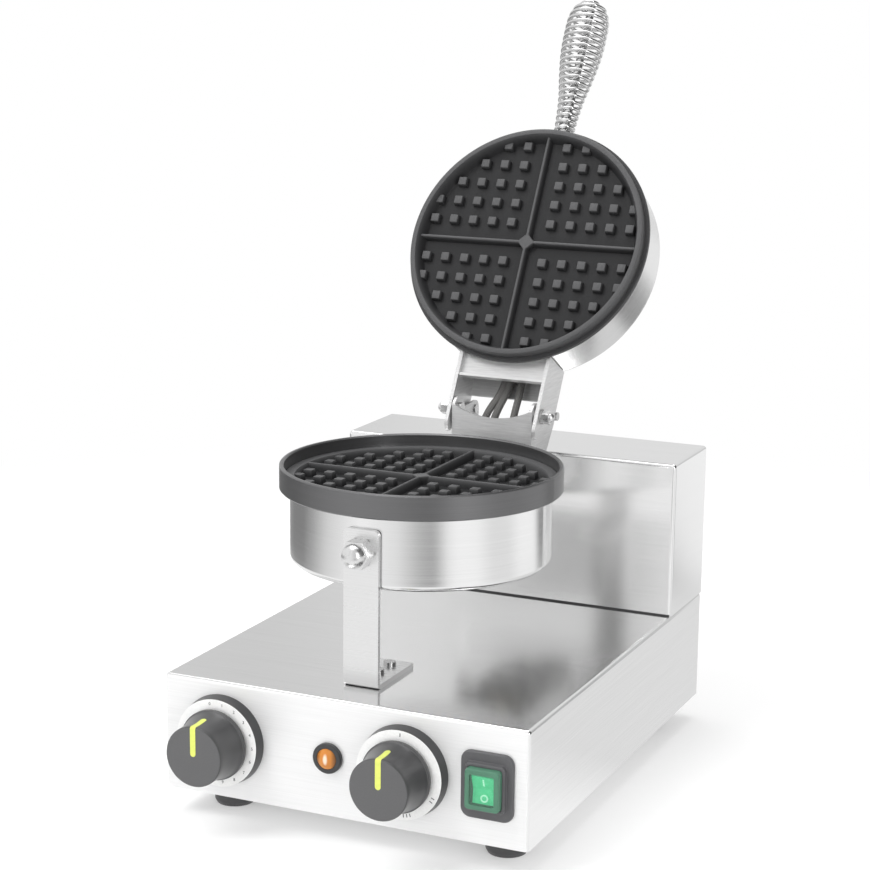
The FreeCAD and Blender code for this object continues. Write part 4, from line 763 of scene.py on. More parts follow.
# Dark mouldings: the knobs are satin, their face painted lighter and their side darker as painted light and
# shade;
# nylon is duller, rubber the dullest, and the dark strip at the tower's foot is painted shadow.
KNOB = LitFrontShadedSides("moulded_phenolic", "#5a5a5b", 0.0, 0.32, edge="#454546")
NYLON = Finish("moulded_nylon", "#3a3a3b", 0.0, 0.36)
BEZEL = Finish("satin_nylon_bezel", "#58585a", 0.0, 0.45)
RUBBER = Finish("moulded_rubber", "#4a4a4b", 0.0, 0.55)
# Painted shadow: the colour of the dark strip at the tower's foot.
FOOT_SHADOW = Finish("painted_foot_shadow", "#3c3c3d", 0.0, 0.5)
# The dial's satin face looks nearly white, and its side is painted dark as a reflection; its print is grey,
# and the pointers are a clear pale yellow.
DIAL = LitFrontShadedSides("satin_aluminium_dial", "#fafaf9", 0.1, 0.35)
POINTER = Finish("pointer_enamel", "#dbe36c", 0.0, 0.40)
INK = Finish("printing_ink", "#59595c", 0.0, 0.6)
# A lens that hardly glows, its pale middle and brown rim painted glow, reflection and shade, and a
# white-marked switch, green through its soft cover, whose rocker and marks glow as painted light.
AMBER = PilotLens("amber_acrylic", "#d98a3a", 0.0, 0.10, ior=1.49, clarity=0.2, glow=0.08)
HOOD = ClearPlastic("green_silicone_hood", "#5c8c74", 0.0, 0.12, ior=1.4, clarity=0.25)
BOOT = ClearPlastic("clear_silicone_window", "#c4ead8", 0.0, 0.06, ior=1.1, clarity=0.9)
GREEN = ClearPlastic("green_polycarbonate", "#58d8a4", 0.0, 0.25, ior=1.58, clarity=0.0, glow=0.45)
MARK = ClearPlastic("white_enamel", "#f4fcf7", 0.0, 0.45, clarity=0.0, glow=0.5)
# Hidden or half hidden: dull woven sleeves, glazed ceramic, and wool that swallows light.
SLEEVE = Braid("glass_fibre_sleeve", "#7a7977", 0.0, 0.6)
CERAMIC = Finish("glazed_steatite", "#e6e1d4", 0.0, 0.25)
WOOL = Finish("mineral_wool", "#b7ac86", 0.0, 0.9)

NODE_FINISHES: dict[Finish, tuple[str, ...]] = {
    SHEET: ("bottom_plate", "tower_rear_panel"),
    TOWER_SHEET: ("tower_shell",),
    BASE_SHEET: ("base_housing",),
    DRUM: ("lower_drum",),
    LID_DRUM: ("upper_drum",),
    STRAP: ("front_strap",),
    BRACKET: ("lower_hinge_bracket", "upper_hinge_bracket", "lower_clamp_plate", "upper_clamp_plate"),
    CHROME: ("handle_coil", "handle_rod", "handle_ferrule"),
    NICKEL: ("front_strap_stud", "hinge_nut_left", "hinge_nut_right"),
    ZINC: ("hinge_bolt_left", "hinge_bolt_right", "hinge_washers_left", "hinge_washers_right",
           "stop_pin_left", "stop_pin_right", "front_strap_screws", "lower_bracket_screws",
           "tower_panel_screws", "tower_foot_screws", "bottom_plate_screws", "foot_screws",
           "timer_shaft", "thermostat_shaft"),
    IRON: ("lower_plate", "upper_plate"),
    RING: ("lower_rim",),
    DARK_STEEL: ("lower_heating_element", "upper_heating_element"),
    KNOB: ("timer_knob", "thermostat_knob"),
    NYLON: ("timer_body", "thermostat_body", "switch_body", "lamp_body", "lamp_bezel"),
    BEZEL: ("switch_bezel",),
    DIAL: ("timer_dial", "thermostat_dial"),
    RUBBER: ("foot_front_left", "foot_front_right", "foot_rear_left", "foot_rear_right", "cable_gland",
             "gland_nut"),
    AMBER: ("lamp_lens",),
    BOOT: ("switch_boot",),
    GREEN: ("switch_rocker",),
    SLEEVE: ("upper_leads", "lower_leads"),
    CERAMIC: ("terminal_block",),
    WOOL: ("lower_insulation", "upper_insulation"),
}


def dress_nodes() -> None:
    """Give every node of the frame its finish."""
    for finish, names in NODE_FINISHES.items():
        for name in names:
            node = frame["nodes"][name]
            node.data.materials.clear()
            node.data.materials.append(finish.material())
            LOG.info("node %s: %s", name, finish.name)


# Tower


@dataclass
class TowerFoot:
    """Dark strip of painted shadow along the gap at the tower's front foot on the base; millimetres."""

    proud: float = 0.6
    height: float = 1.1
    under: float = 0.3
    end_gap: float = 1.0

    def build(self) -> None:
        """Run the strip of painted shadow from side to side along the foot."""
        low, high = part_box("tower_shell")
        section = [(-self.under, 0.0), (self.proud, 0.0), (self.proud, self.height / 2),
                   (self.proud / 3, self.height), (-self.under, self.height)]
        shadow_strip = prism(section, low.x / MM + self.end_gap, high.x / MM - self.end_gap, "tower_foot_shadow_strip")
        place = Matrix.Translation((0, low.y, low.z)) @ Matrix.Rotation(math.radians(-90), 4, "Z")
        new_piece("tower_foot_shadow_strip", shadow_strip, FOOT_SHADOW, "base", place=place, smooth=False)


# Lid and its handle


@dataclass
class LidPose:
    """Where the open lid's own axes lie."""

    open_angle: float = 120.0

    def matrix(self) -> Matrix:
        """Turn from the closed lid to the open one, about the hinge.

        Returns:
            The turn, in the frame of the scene.
        """
        pivot = self.pivot()
        swing = Matrix.Rotation(math.radians(-self.open_angle), 4, "X")
        return Matrix.Translation(pivot) @ swing @ Matrix.Translation(-pivot)

    def pivot(self) -> Vector:
        """A point on the hinge axis, in the middle."""
        return Vector(next(joint["pos_m"] for joint in frame["joints"] if joint["name"] == "lid_hinge"))


@dataclass
class GridPlate:
    """Cast plate with a waffle grid; millimetres, with its grid floor at z = 0 and its rim upwards."""

    node: str
    body: str
    place: Matrix
    edge: list[Point]
    depth: float
    cavity: float = 82.5
    slope: float = 0.44
    thickness: float = 16.0
    sides: int = 160
    pitch: float = 14.8
    rows: int = 5
    stud_base: float = 7.2
    stud_top: float = 5.9
    stud_height: float = 4.6
    rib_base: float = 4.6
    rib_top: float = 1.8
    rib_height: float = 5.4
    rib_crown: float = 0.6
    crown_steps: int = 8
    hub: float = 13.0
    hub_sink: float = 0.5
    softness: float = 0.55
    lip_ease: Point = (0.15, 0.25)
    floor_ease: Point = (0.4, 0.6)
    # From this far past the cavity outwards, the rim's outer edge gets a painted highlight.
    rim_highlight_from: float = 3.0
    rim_highlight: float = 0.85
    crest: ClassVar[str] = "crest"

    def floor_radius(self) -> float:
        """Radius of the grid floor, where the sloping wall meets it."""
        return self.cavity - self.depth * self.slope

    def lattice_tree(self) -> Tree:
        """Geometry tree that sets the given stud on an even lattice, off the ribs and inside the wall.

        Returns:
            The tree.
        """
        tree, given = new_tree(self.node + "_lattice", ("Pitch", "Span", "Limit"), ("Count",))
        sizes = {"Size " + axis: given.outputs["Span"] for axis in "XY"}
        counts = {"Vertices " + axis: given.outputs["Count"] for axis in "XY"}
        spots = add_node(tree, "GeometryNodeMeshGrid", sizes | counts)
        where = add_node(tree, "GeometryNodeInputPosition")
        apart = add_node(tree, SEPARATE, {0: where})
        half = add_node(tree, MATH, {0: given.outputs["Pitch"], 1: 0.5}, operation="MULTIPLY")
        reach = add_node(tree, VECTOR_MATH, {0: where}, operation="LENGTH")
        drop = add_node(tree, MATH, {0: reach, 1: given.outputs["Limit"]}, operation="GREATER_THAN")
        for axis in "XY":
            size = add_node(tree, MATH, {0: apart.outputs[axis]}, operation="ABSOLUTE")
            near = add_node(tree, MATH, {0: size, 1: half}, operation="LESS_THAN")
            drop = add_node(tree, MATH, {0: drop, 1: near}, operation="MAXIMUM")
        kept = add_node(tree, "GeometryNodeDeleteGeometry", {"Geometry": spots, "Selection": drop})
        studs = add_node(tree, "GeometryNodeInstanceOnPoints", {
            "Points": kept, "Instance": given.outputs["Geometry"]})
        return end_tree(tree, studs, given)

    def stud(self) -> Mesh:
        """One tapering stud with rounded edges, standing on z = 0 and let into the floor.

        Returns:
            The stud's mesh.
        """
        build = bmesh.new()
        rings = []
        for half, height in ((self.stud_base / 2, -self.softness), (self.stud_top / 2, self.stud_height)):
            corners = ((-half, -half), (half, -half), (half, half), (-half, half))
            rings.append([build.verts.new((x * MM, y * MM, height * MM)) for x, y in corners])
        build.faces.new(rings[0])
        top = build.faces.new(rings[1])
        for side in range(4):
            build.faces.new((rings[0][side - 1], rings[0][side], rings[1][side], rings[1][side - 1]))
        uprights = [edge for vert in rings[1] for edge in vert.link_edges if edge not in top.edges[:]]
        bmesh.ops.bevel(build, geom=top.edges[:] + uprights, offset=self.softness * MM, segments=2,
                        profile=0.5, affect="EDGES")
        return mesh_from(build, self.node + "_stud")

    def studs(self) -> Mesh:
        """All the studs of the grid."""
        count = self.rows * 2
        return apply_tree(self.stud(), self.lattice_tree(), {
            "Pitch": self.pitch * MM, "Span": self.pitch * count * MM, "Count": count + 1,
            "Limit": (self.floor_radius() + self.stud_base / 4) * MM, "Material": IRON.material()})

    def bowl(self) -> Mesh:
        """Round plate with its rim, its sloping wall and its floor.

        Returns:
            The plate's mesh.
        """
        soft, floor = self.softness, self.floor_radius()
        wall = math.hypot(self.slope, 1)
        profile = [(0.0, self.depth - self.thickness)] + self.edge + [
            (self.cavity + soft, self.depth),
            (self.cavity - soft * self.lip_ease[0], self.depth - soft * self.lip_ease[1]),
            (self.cavity - soft * self.slope / wall, self.depth - soft / wall),
            (floor + soft * self.floor_ease[0], soft), (floor - soft * self.floor_ease[1], 0.0), (0.0, 0.0)]
        return turned(profile, self.sides, self.node + "_plate")

    def rib(self, turn: float) -> Mesh:
        """One rib from wall to wall, with sloping sides and a rounded top.

        Args:
            turn: its turn about the middle, in degrees.

        Returns:
            The rib's mesh.
        """
        base, top, height = self.rib_base / 2, self.rib_top / 2, self.rib_height
        rise = top * self.rib_crown
        angles = [math.pi * step / self.crown_steps for step in range(self.crown_steps + 1)]
        crown = [(top * math.cos(a), height - rise + rise * math.sin(a)) for a in angles]
        reach = self.cavity - self.slope * (self.depth - height)
        rib = prism([(-base, 0.0), (base, 0.0)] + crown, -reach, reach, self.node + "_rib")
        rib.transform(Matrix.Rotation(math.radians(turn), 4, "Z"))
        return rib

    def hub_block(self) -> Mesh:
        """Square block where the ribs cross.

        Returns:
            The block's mesh.
        """
        half, top = self.hub / 2, self.rib_height
        profile = [(0.0, -self.hub_sink), (half, -self.hub_sink), (half, top - self.softness),
                   (half - self.softness, top), (0.0, top)]
        return turned(profile, 4, self.node + "_hub")

    def worn_and_lit_share(self, spot: Vector) -> float:
        """How pale the coat is painted at a place: on the crests, partly wear and partly painted light, and
        round the rim's outer edge as a painted highlight.
        """
        outer = self.rim_highlight if spot.to_2d().length > (self.cavity + self.rim_highlight_from) * MM else 0.0
        return max(outer, min(max(spot.z / (self.stud_height * MM), 0.0), 1.0))

    def build(self) -> None:
        """Cast the plate and set it in its drum."""
        parts = [self.bowl(), self.studs(), self.rib(0.0), self.rib(90.0), self.hub_block()]
        mesh = joined(parts, self.node + "_casting")
        crest = mesh.attributes.new(self.crest, "FLOAT", "POINT")
        crest.data.foreach_set("value", [self.worn_and_lit_share(vert.co) for vert in mesh.vertices])
        new_piece(self.node + "_casting", mesh, IRON, self.body, (self.node,), self.place)


@dataclass
class PlatePair:
    """The fixed plate and the lid's plate, with their outer edges; millimetres."""

    pose: LidPose
    ledge_drop: float = 8.0
    closed_gap: float = 0.4
    lower_depth: float = 5.4
    upper_depth: float = 9.0
    lower_edge: list[Point] = field(default_factory=lambda: [
        (83.7, -10.6), (83.7, -2.6), (88.9, -2.6), (88.9, 5.0), (88.5, 5.4)])
    upper_edge: list[Point] = field(default_factory=lambda: [
        (85.7, -7.0), (85.7, -2.0), (88.4, -2.0), (88.8, -1.6), (88.8, 0.6), (88.4, 1.0), (86.0, 1.0),
        (86.0, 8.2), (85.8, 8.7), (85.2, 9.0)])

    def build(self) -> None:
        """Seat the lower plate on the ring's ledge, and the upper one over it in the open lid."""
        rim_low, rim_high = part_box("lower_rim")
        middle = (rim_low + rim_high) / 2
        ledge = Matrix.Translation((middle.x, middle.y, rim_high.z - self.ledge_drop * MM))
        lower = ledge @ Matrix.Translation((0, 0, -self.lower_depth * MM))
        raised = Matrix.Translation((0, 0, (self.upper_depth + self.closed_gap) * MM))
        upper = self.pose.matrix() @ ledge @ raised @ Matrix.Rotation(math.pi, 4, "X")
        GridPlate("lower_plate", "base", lower, self.lower_edge, self.lower_depth).build()
        GridPlate("upper_plate", "lid", upper, self.upper_edge, self.upper_depth).build()


@dataclass
class CoilHandle:
    """Wire coil that keeps the grip cool; millimetres, along the handle from the drum."""

    pose: LidPose
    root_back: float = 210.0
    root_rise: float = 10.0
    first: float = 8.45
    last: float = 114.75
    turns: float = 22.0
    steps: int = 660
    widest: float = 14.75
    wire: float = 1.25
    wire_sides: int = 12
    outline: list[Point] = field(default_factory=lambda: [
        (0.0, 0.43), (0.22, 0.54), (0.44, 0.80), (0.62, 0.97), (0.72, 1.0), (0.84, 0.99),
        (0.92, 0.86), (0.965, 0.66), (1.0, 0.30)])

    def width(self, tree: Tree, along: Socket) -> Node:
        """Share of the widest radius, by the outline along the handle.

        Args:
            tree: the geometry tree.
            along: share of the way along the coil.

        Returns:
            The curve node.
        """
        width = add_node(tree, "ShaderNodeFloatCurve", {"Value": along})
        points = width.mapping.curves[0].points
        points[0].location, points[1].location = self.outline[:2]
        for spot in self.outline[2:]:
            points.new(*spot)
        width.mapping.update()
        return width

    def tree(self) -> Tree:
        """Geometry tree of the coil: a line wound to the outline and given a round wire.

        Returns:
            The tree.
        """
        tree, given = new_tree(
            "coil_winding", ("Turns", "Start", "Length", "Radius", "Wire"), ("Steps", "Sides"))
        size = given.outputs
        line = add_node(tree, "GeometryNodeCurvePrimitiveLine")
        fine = add_node(tree, "GeometryNodeResampleCurve", {"Curve": line, "Count": size["Steps"]})
        along = add_node(tree, "GeometryNodeSplineParameter").outputs["Factor"]
        wound = add_node(tree, MATH, {0: along, 1: size["Turns"]}, operation="MULTIPLY")
        angle = add_node(tree, MATH, {0: wound, 1: math.tau}, operation="MULTIPLY")
        width = self.width(tree, along)
        radius = add_node(tree, MATH, {0: width, 1: size["Radius"]}, operation="MULTIPLY")
        height = add_node(tree, MATH, {0: along, 1: size["Length"], 2: size["Start"]},
                          operation="MULTIPLY_ADD")
        spot = add_node(tree, "ShaderNodeCombineXYZ", {2: height})
        for axis, wave in enumerate(("COSINE", "SINE")):
            turn = add_node(tree, MATH, {0: angle}, operation=wave)
            set_inputs(tree, spot, {axis: add_node(tree, MATH, {0: turn, 1: radius}, operation="MULTIPLY")})
        coil = add_node(tree, "GeometryNodeSetPosition", {"Geometry": fine, "Position": spot})
        ring = add_node(tree, "GeometryNodeCurvePrimitiveCircle", {
            "Resolution": size["Sides"], "Radius": size["Wire"]})
        solid = add_node(tree, "GeometryNodeCurveToMesh", {
            "Curve": coil, "Profile Curve": ring, "Fill Caps": True})
        return end_tree(tree, solid, given)

    def build(self) -> None:
        """Wind the coil and set it on the lid's drum."""
        mesh = apply_tree(bpy.data.meshes.new("coil_seed"), self.tree(), {
            "Turns": self.turns, "Start": self.first * MM, "Length": (self.last - self.first) * MM,
            "Radius": self.widest * MM, "Wire": self.wire * MM, "Steps": self.steps,
            "Sides": self.wire_sides, "Material": CHROME.material()})
        root = self.pose.pivot() + Vector((0, -self.root_back * MM, self.root_rise * MM))
        place = self.pose.matrix() @ Matrix.Translation(root) @ Matrix.Rotation(math.radians(90), 4, "X")
        new_piece("handle_coil_wire", mesh, CHROME, "lid", ("handle_coil",), place)


@dataclass
class HeaterLeads:
    """Sleeved wires of the lid's heater, bending behind the hinge; millimetres from the axis, lid open."""

    pose: LidPose
    diameter: float = 5.2
    bend_top: float = 16.0
    bend_end: float = -34.0
    routes: list[list[Spot]] = field(default_factory=lambda: [
        [(-4.0, 35.0, 30.6), (-3.5, 24.0, 12.0), (-13.0, 13.0, -4.0), (-15.0, 6.7, -20.0),
         (-11.0, 6.7, -42.0), (-8.0, 22.2, -42.0)],
        [(1.0, 35.0, 30.6), (-0.5, 24.0, 12.0), (-6.0, 13.0, -4.0), (-8.0, 6.7, -20.0),
         (-4.5, 6.7, -42.0), (-1.5, 22.2, -42.0)],
        [(8.0, 35.0, 30.6), (8.5, 24.0, 12.0), (8.0, 13.0, -4.0), (7.5, 6.7, -20.0),
         (7.5, 6.7, -42.0), (8.0, 22.2, -42.0)]])

    def from_axis(self, spot: Spot) -> Vector:
        """Place of a spot that is given from the middle of the hinge axis."""
        return self.pose.pivot() + Vector(spot) * MM

    def wire(self, route: list[Spot]) -> Mesh:
        """One sleeved wire: a round tube along a smooth spline with the route's control points.

        Args:
            route: control points, from the hinge axis.

        Returns:
            The wire's mesh.
        """
        curve = bpy.data.curves.new("heater_wire", "CURVE")
        curve.dimensions = "3D"
        curve.bevel_depth = self.diameter / 2 * MM
        curve.bevel_resolution = 3
        curve.use_fill_caps = True
        spline = curve.splines.new("NURBS")
        spline.points.add(len(route) - 1)
        for point, spot in zip(spline.points, route):
            point.co = (*self.from_axis(spot), 1.0)
        spline.order_u = 3
        spline.use_endpoint_u = True
        spline.resolution_u = 10
        return evaluated(bpy.data.objects.new("heater_wire", curve))

    def build(self) -> None:
        """Lay the wires."""
        wires = joined([self.wire(route) for route in self.routes], "heater_wires")
        piece = new_piece("heater_wires", wires, SLEEVE, None, ("upper_leads",))
        start = self.from_axis((0, 0, self.bend_top))
        end = self.from_axis((0, 0, self.bend_end))
        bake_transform(piece)


# Controls


def panel_matrix(node: str) -> Matrix:
    """Frame of a control: z out of the front panel, y up, at the node's middle.

    Args:
        node: the control's node.

    Returns:
        The frame as a matrix.
    """
    low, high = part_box(node)
    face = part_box("base_housing")[0].y
    spot = Vector(((low.x + high.x) / 2, face, (low.z + high.z) / 2))
    return Matrix.Translation(spot) @ Matrix.Rotation(math.radians(90), 4, "X")


def printed_figure(text: str, size: float, name: str, bold: float = 0.0) -> Mesh:
    """A printed figure as a thin mesh about the origin.

    Args:
        text: the figure.
        size: its height in millimetres.
        name: the mesh's name.
        bold: how much its strokes widen to each side, in millimetres.

    Returns:
        The mesh.
    """
    type_size_per_height = 1.4
    half_thickness = 0.05
    curve = bpy.data.curves.new(name, "FONT")
    curve.body = text
    curve.size = size * MM * type_size_per_height
    curve.align_x = "CENTER"
    curve.align_y = "CENTER"
    curve.extrude = half_thickness * MM
    curve.offset = bold * MM
    curve.resolution_u = 4
    return evaluated(bpy.data.objects.new(name, curve))


@dataclass
class Knob:
    """Turning knob with an enamel pointer; millimetres, heights above the panel."""

    name: str
    back: float = 10.5
    front: float = 36.35
    skirt_radius: float = 22.75
    skirt_band: float = 3.0
    skirt_round: float = 0.6
    shoulder: float = 0.9
    grip_radius: float = 19.5
    edge_round: float = 1.3
    edge_steps: int = 5
    waist: float = 0.9
    side_steps: int = 8
    wall: float = 3.0
    face_thickness: float = 8.0
    sides: int = 96
    pointer_width: float = 3.8
    pointer_start: float = 0.4
    pointer_end: float = 0.56
    pointer_tip: float = 0.02
    pointer_lift: float = 0.14
    pointer_thickness: float = 0.5
    thinnest: float = 0.05

    def side_spot(self, share: float) -> Point:
        """Radius and height on the grip's slightly hollow side, at a share of it from the front.

        Args:
            share: from 0 at the front to 1 at the skirt.

        Returns:
            Radius and height.
        """
        straight = self.grip_radius + (self.skirt_radius - self.shoulder - self.grip_radius) * share
        top = self.front - self.edge_round
        height = top - (top - self.back - self.skirt_band - self.skirt_round) * share
        return straight - self.waist * math.sin(math.pi * share), height

    def edge_arc(self, lift: float = 0.0) -> list[Point]:
        """Rounded edge of the face, lifted off the surface or not."""
        centre = (self.grip_radius - self.edge_round, self.front - self.edge_round)
        return arc_points(centre, self.edge_round + lift, 90, 0, self.edge_steps)

    def shell(self) -> Mesh:
        """The hollow knob, turned from its face round to its back.

        Returns:
            The knob's mesh.
        """
        skirt = self.skirt_radius
        rounded = (skirt - self.skirt_round, self.back + self.skirt_band - self.skirt_round)
        inside = self.front - self.face_thickness
        points = [(0.0, self.front)] + self.edge_arc()
        points += [self.side_spot(step / self.side_steps) for step in range(1, self.side_steps + 1)]
        points += arc_points(rounded, self.skirt_round, 90, 0, 3)
        points += [(skirt, self.back), (skirt - self.wall, self.back), (self.grip_radius - self.wall, inside),
                   (0.0, inside)]
        return turned(points, self.sides, self.name + "_knob_shell")

    def pointer_route(self) -> list[Spot]:
        """Distance from the axis, height and half width along the pointer, from its start to its tip.

        Returns:
            One spot for each row of points.
        """
        half, lift, end = self.pointer_width / 2, self.pointer_lift, self.pointer_end
        quarter = [step * math.pi / 8 for step in range(5)]
        route = [(self.pointer_start + half * (1 - math.cos(a)), self.front + lift, half * math.sin(a))
                 for a in quarter]
        route += [(radius, height, half) for radius, height in self.edge_arc(lift)]
        side = [self.side_spot(share) for share in (0.15, 0.3, 0.45, end)]
        route += [(radius + lift, height, half) for radius, height in side]
        for step, angle in enumerate(quarter[1:], 1):
            radius = self.side_spot(end + self.pointer_tip * step)[0] + lift
            route.append((radius, side[-1][1] - half * math.sin(angle), half * math.cos(angle)))
        return route

    def pointer(self) -> Mesh:
        """Enamel line of even width over the knob's face, round its edge and down its side.

        Returns:
            The pointer's mesh.
        """
        build = bmesh.new()
        rows = []
        for y, z, wide in self.pointer_route():
            row = []
            for share in (-1.0, -0.5, 0.0, 0.5, 1.0):
                x = max(wide, self.thinnest) * share
                bow = y - math.sqrt(y * y - x * x) if z < self.front else 0.0
                row.append(build.verts.new((x * MM, (y - bow) * MM, z * MM)))
            rows.append(row)
        for low, high in zip(rows, rows[1:]):
            for place in range(len(low) - 1):
                build.faces.new((low[place], low[place + 1], high[place + 1], high[place]))
        bmesh.ops.solidify(build, geom=build.faces[:], thickness=self.pointer_thickness * MM)
        return mesh_from(build, self.name + "_pointer")

    def build(self) -> None:
        """Set the knob and its pointer in place of the plain knob node."""
        node = self.name + "_knob"
        place = panel_matrix(node)
        new_piece(node + "_shell", self.shell(), KNOB, node, (node,), place)
        new_piece(self.name + "_pointer", self.pointer(), POINTER, node, place=place)


@dataclass
class DialPrint:
    """Marks and figures of a dial, at clock angles in degrees from the top; millimetres."""

    name: str
    marks: list[float] = field(default_factory=list)
    figures: dict[float, str] = field(default_factory=dict)
    dial_depth: float = 8.0
    lift: float = 0.06
    radius: float = 25.6
    figure_size: float = 2.0
    mark_width: float = 0.5
    mark_length: float = 2.2
    mark_height: float = 0.12

    def spot(self, angle: float) -> Vector:
        """Place of a mark on the dial's face, in metres.

        Args:
            angle: clock angle from the top, in degrees.

        Returns:
            The place, in the panel's frame.
        """
        turn = math.radians(angle)
        across, up = self.radius * math.sin(turn), self.radius * math.cos(turn)
        return Vector((across, up, self.dial_depth + self.lift)) * MM

    def mark_tree(self) -> Tree:
        """Geometry tree that sets one mark at each point of a ring, turned to the middle.

        Returns:
            The tree.
        """
        sizes = ("Width", "Length", "Height")
        tree, given = new_tree("dial_marks", sizes)
        size = add_node(tree, "ShaderNodeCombineXYZ", {
            axis: given.outputs[label] for axis, label in enumerate(sizes)})
        bar = add_node(tree, "GeometryNodeMeshCube", {"Size": size})
        where = add_node(tree, "GeometryNodeInputPosition")
        turn = add_node(tree, "FunctionNodeAlignRotationToVector", {"Vector": where},
                        axis="Y", pivot_axis="Z")
        marks = add_node(tree, "GeometryNodeInstanceOnPoints", {
            "Points": given.outputs["Geometry"], "Instance": bar, "Rotation": turn})
        return end_tree(tree, marks, given)

    def mark_ring(self) -> Mesh:
        """All the marks of the dial.

        Returns:
            The marks as one mesh.
        """
        points = bpy.data.meshes.new("dial_points")
        points.from_pydata([self.spot(angle) for angle in self.marks], [], [])
        return apply_tree(points, self.mark_tree(), {
            "Width": self.mark_width * MM, "Length": self.mark_length * MM, "Height": self.mark_height * MM,
            "Material": INK.material()})

    def build(self) -> None:
        """Print the dial."""
        parts = [self.mark_ring()] if self.marks else []
        for angle, text in self.figures.items():
            figure = printed_figure(text, self.figure_size, self.name + "_figure")
            figure.transform(Matrix.Translation(self.spot(angle)))
            parts.append(figure)
        name = self.name + "_dial_print"
        place = panel_matrix(self.name + "_dial")
        new_piece(name, joined(parts, name), INK, "base", place=place, smooth=False)


@dataclass
class RockerSwitch:
    """Bezel, soft cover and marks of the rocker switch; millimetres, levels above the panel.

    A rounded edge is a row of steps, each with a change of width and a drop below the top. The bezel's steps
    say how much narrower it gets, and the foot of the frame has rises above the bezel in place of drops.
    """

    bezel: Point = (34.2, 42.5)
    bezel_corner: float = 6.4
    bezel_top: float = 2.5
    bezel_round: tuple[Point, ...] = ((0.0, 1.0), (0.5, 0.4), (1.6, 0.0))
    frame: Point = (26.0, 30.0)
    frame_corner: float = 3.0
    frame_top: float = 6.0
    frame_foot: tuple[Point, ...] = ((0.8, 0.0), (0.0, 0.5))
    frame_round: tuple[Point, ...] = ((0.0, 0.7), (-0.5, 0.2), (-1.2, 0.0))
    boot: Point = (22.5, 25.8)
    boot_corner: float = 2.4
    boot_inner_corner: float = 1.6
    boot_seat: float = 1.0
    boot_top: float = 10.5
    boot_wall: float = 0.8
    boot_round: tuple[Point, ...] = ((0.0, 1.3), (-0.5, 0.5), (-1.9, 0.0))
    boot_gap: float = 0.3
    gap_corner: float = 2.0
    window: Point = (16.0, 19.0)
    window_corner: float = 1.2
    window_sink: float = 0.2
    rocker_tilt: float = 7.0
    rocker_pivot: float = 1.5
    rocker_face: float = 6.6
    rocker_slope: float = 1.8 / 9.0
    mark_size: float = 4.6
    mark_bold: float = 0.2
    mark_off: float = 5.2
    mark_lift: float = 0.06

    def bezel_moulding(self) -> Mesh:
        """Round-cornered plate with a raised frame round the boot's opening.

        Returns:
            The moulding's mesh.
        """
        low, top = self.bezel_top, self.frame_top
        loops = []
        for inset, drop in ((0.0, low), *self.bezel_round):
            loops += stacked_loops(self.bezel, self.bezel_corner - inset / 2, [(-inset, low - drop)])
        loops += stacked_loops(self.frame, self.frame_corner, [
            (more, low + rise) for more, rise in self.frame_foot])
        loops += stacked_loops(self.frame, self.frame_corner, [
            (more, top - drop) for more, drop in self.frame_round])
        loops += stacked_loops(self.boot, self.gap_corner, [(self.boot_gap, top), (self.boot_gap, 0.0)])
        return lofted(loops, False, "switch_bezel_moulding")

    def hood(self) -> Mesh:
        """Soft boot with rounded edges and an opening for its window.

        Returns:
            The hood's mesh.
        """
        seat, top, wall = self.boot_seat, self.boot_top, self.boot_wall
        loops = stacked_loops(self.boot, self.boot_inner_corner, [(-2 * wall, top - wall), (-2 * wall, seat)])
        loops += stacked_loops(self.boot, self.boot_corner, [
            (0.0, seat), *((more, top - drop) for more, drop in self.boot_round)])
        loops += stacked_loops(self.window, self.window_corner, [(0.0, top), (0.0, top - wall)])
        return lofted(loops, False, "switch_boot_hood")

    def pane(self) -> Mesh:
        """Clear window of the boot."""
        levels = [(0.0, self.boot_top - self.boot_wall), (0.0, self.boot_top - self.window_sink)]
        return lofted(stacked_loops(self.window, self.window_corner, levels), True, "switch_boot_window")

    def marks(self) -> Mesh:
        """The I and O, flat on the two slopes of the tilted rocker.

        Returns:
            Both marks as one mesh.
        """
        low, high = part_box("switch_rocker")
        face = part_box("base_housing")[0].y
        pivot = Vector(((low.x + high.x) / 2, face + self.rocker_pivot * MM, (low.z + high.z) / 2))
        tilted = Matrix.Translation(pivot) @ Matrix.Rotation(math.radians(90 + self.rocker_tilt), 4, "X")
        level = self.rocker_face + self.rocker_slope * self.mark_off + self.mark_lift
        parts = []
        for text, side in (("I", 1), ("O", -1)):
            mark = printed_figure(text, self.mark_size, "switch_mark", self.mark_bold)
            seat = Matrix.Translation(Vector((0, side * self.mark_off, level)) * MM)
            mark.transform(tilted @ seat @ Matrix.Rotation(side * math.atan(self.rocker_slope), 4, "X"))
            parts.append(mark)
        return joined(parts, "switch_marks")

    def build(self) -> None:
        """Set the bezel and the cover in place of their plain nodes, and mark the rocker."""
        place = panel_matrix("switch_bezel")
        new_piece("switch_bezel_moulding", self.bezel_moulding(), BEZEL, "base",
                  ("switch_bezel",), place)
        new_piece("switch_boot_hood", self.hood(), HOOD, "base", ("switch_boot",), place)
        new_piece("switch_boot_window", self.pane(), BOOT, "base", place=place, smooth=False)
        new_piece("switch_marks", self.marks(), MARK, "switch_rocker", smooth=False)


@dataclass
class ControlPanel:
    """Knobs, dial prints and switch of the front; dial angles in degrees from the top."""

    timer_first: float = -10.0
    timer_step: float = 20.0
    timer_figures: int = 10
    heat_marks: tuple[float, ...] = (2.0, 116.0, 122.0, 162.0, 167.0, 172.0)

    def build(self) -> None:
        """Make all the controls."""
        for name in ("timer", "thermostat"):
            Knob(name).build()
        minutes = range(self.timer_figures)
        figures = {self.timer_first + self.timer_step * minute: str(minute) for minute in minutes}
        DialPrint("timer", figures=figures).build()
        DialPrint("thermostat", marks=list(self.heat_marks)).build()
        RockerSwitch().build()


# Studio


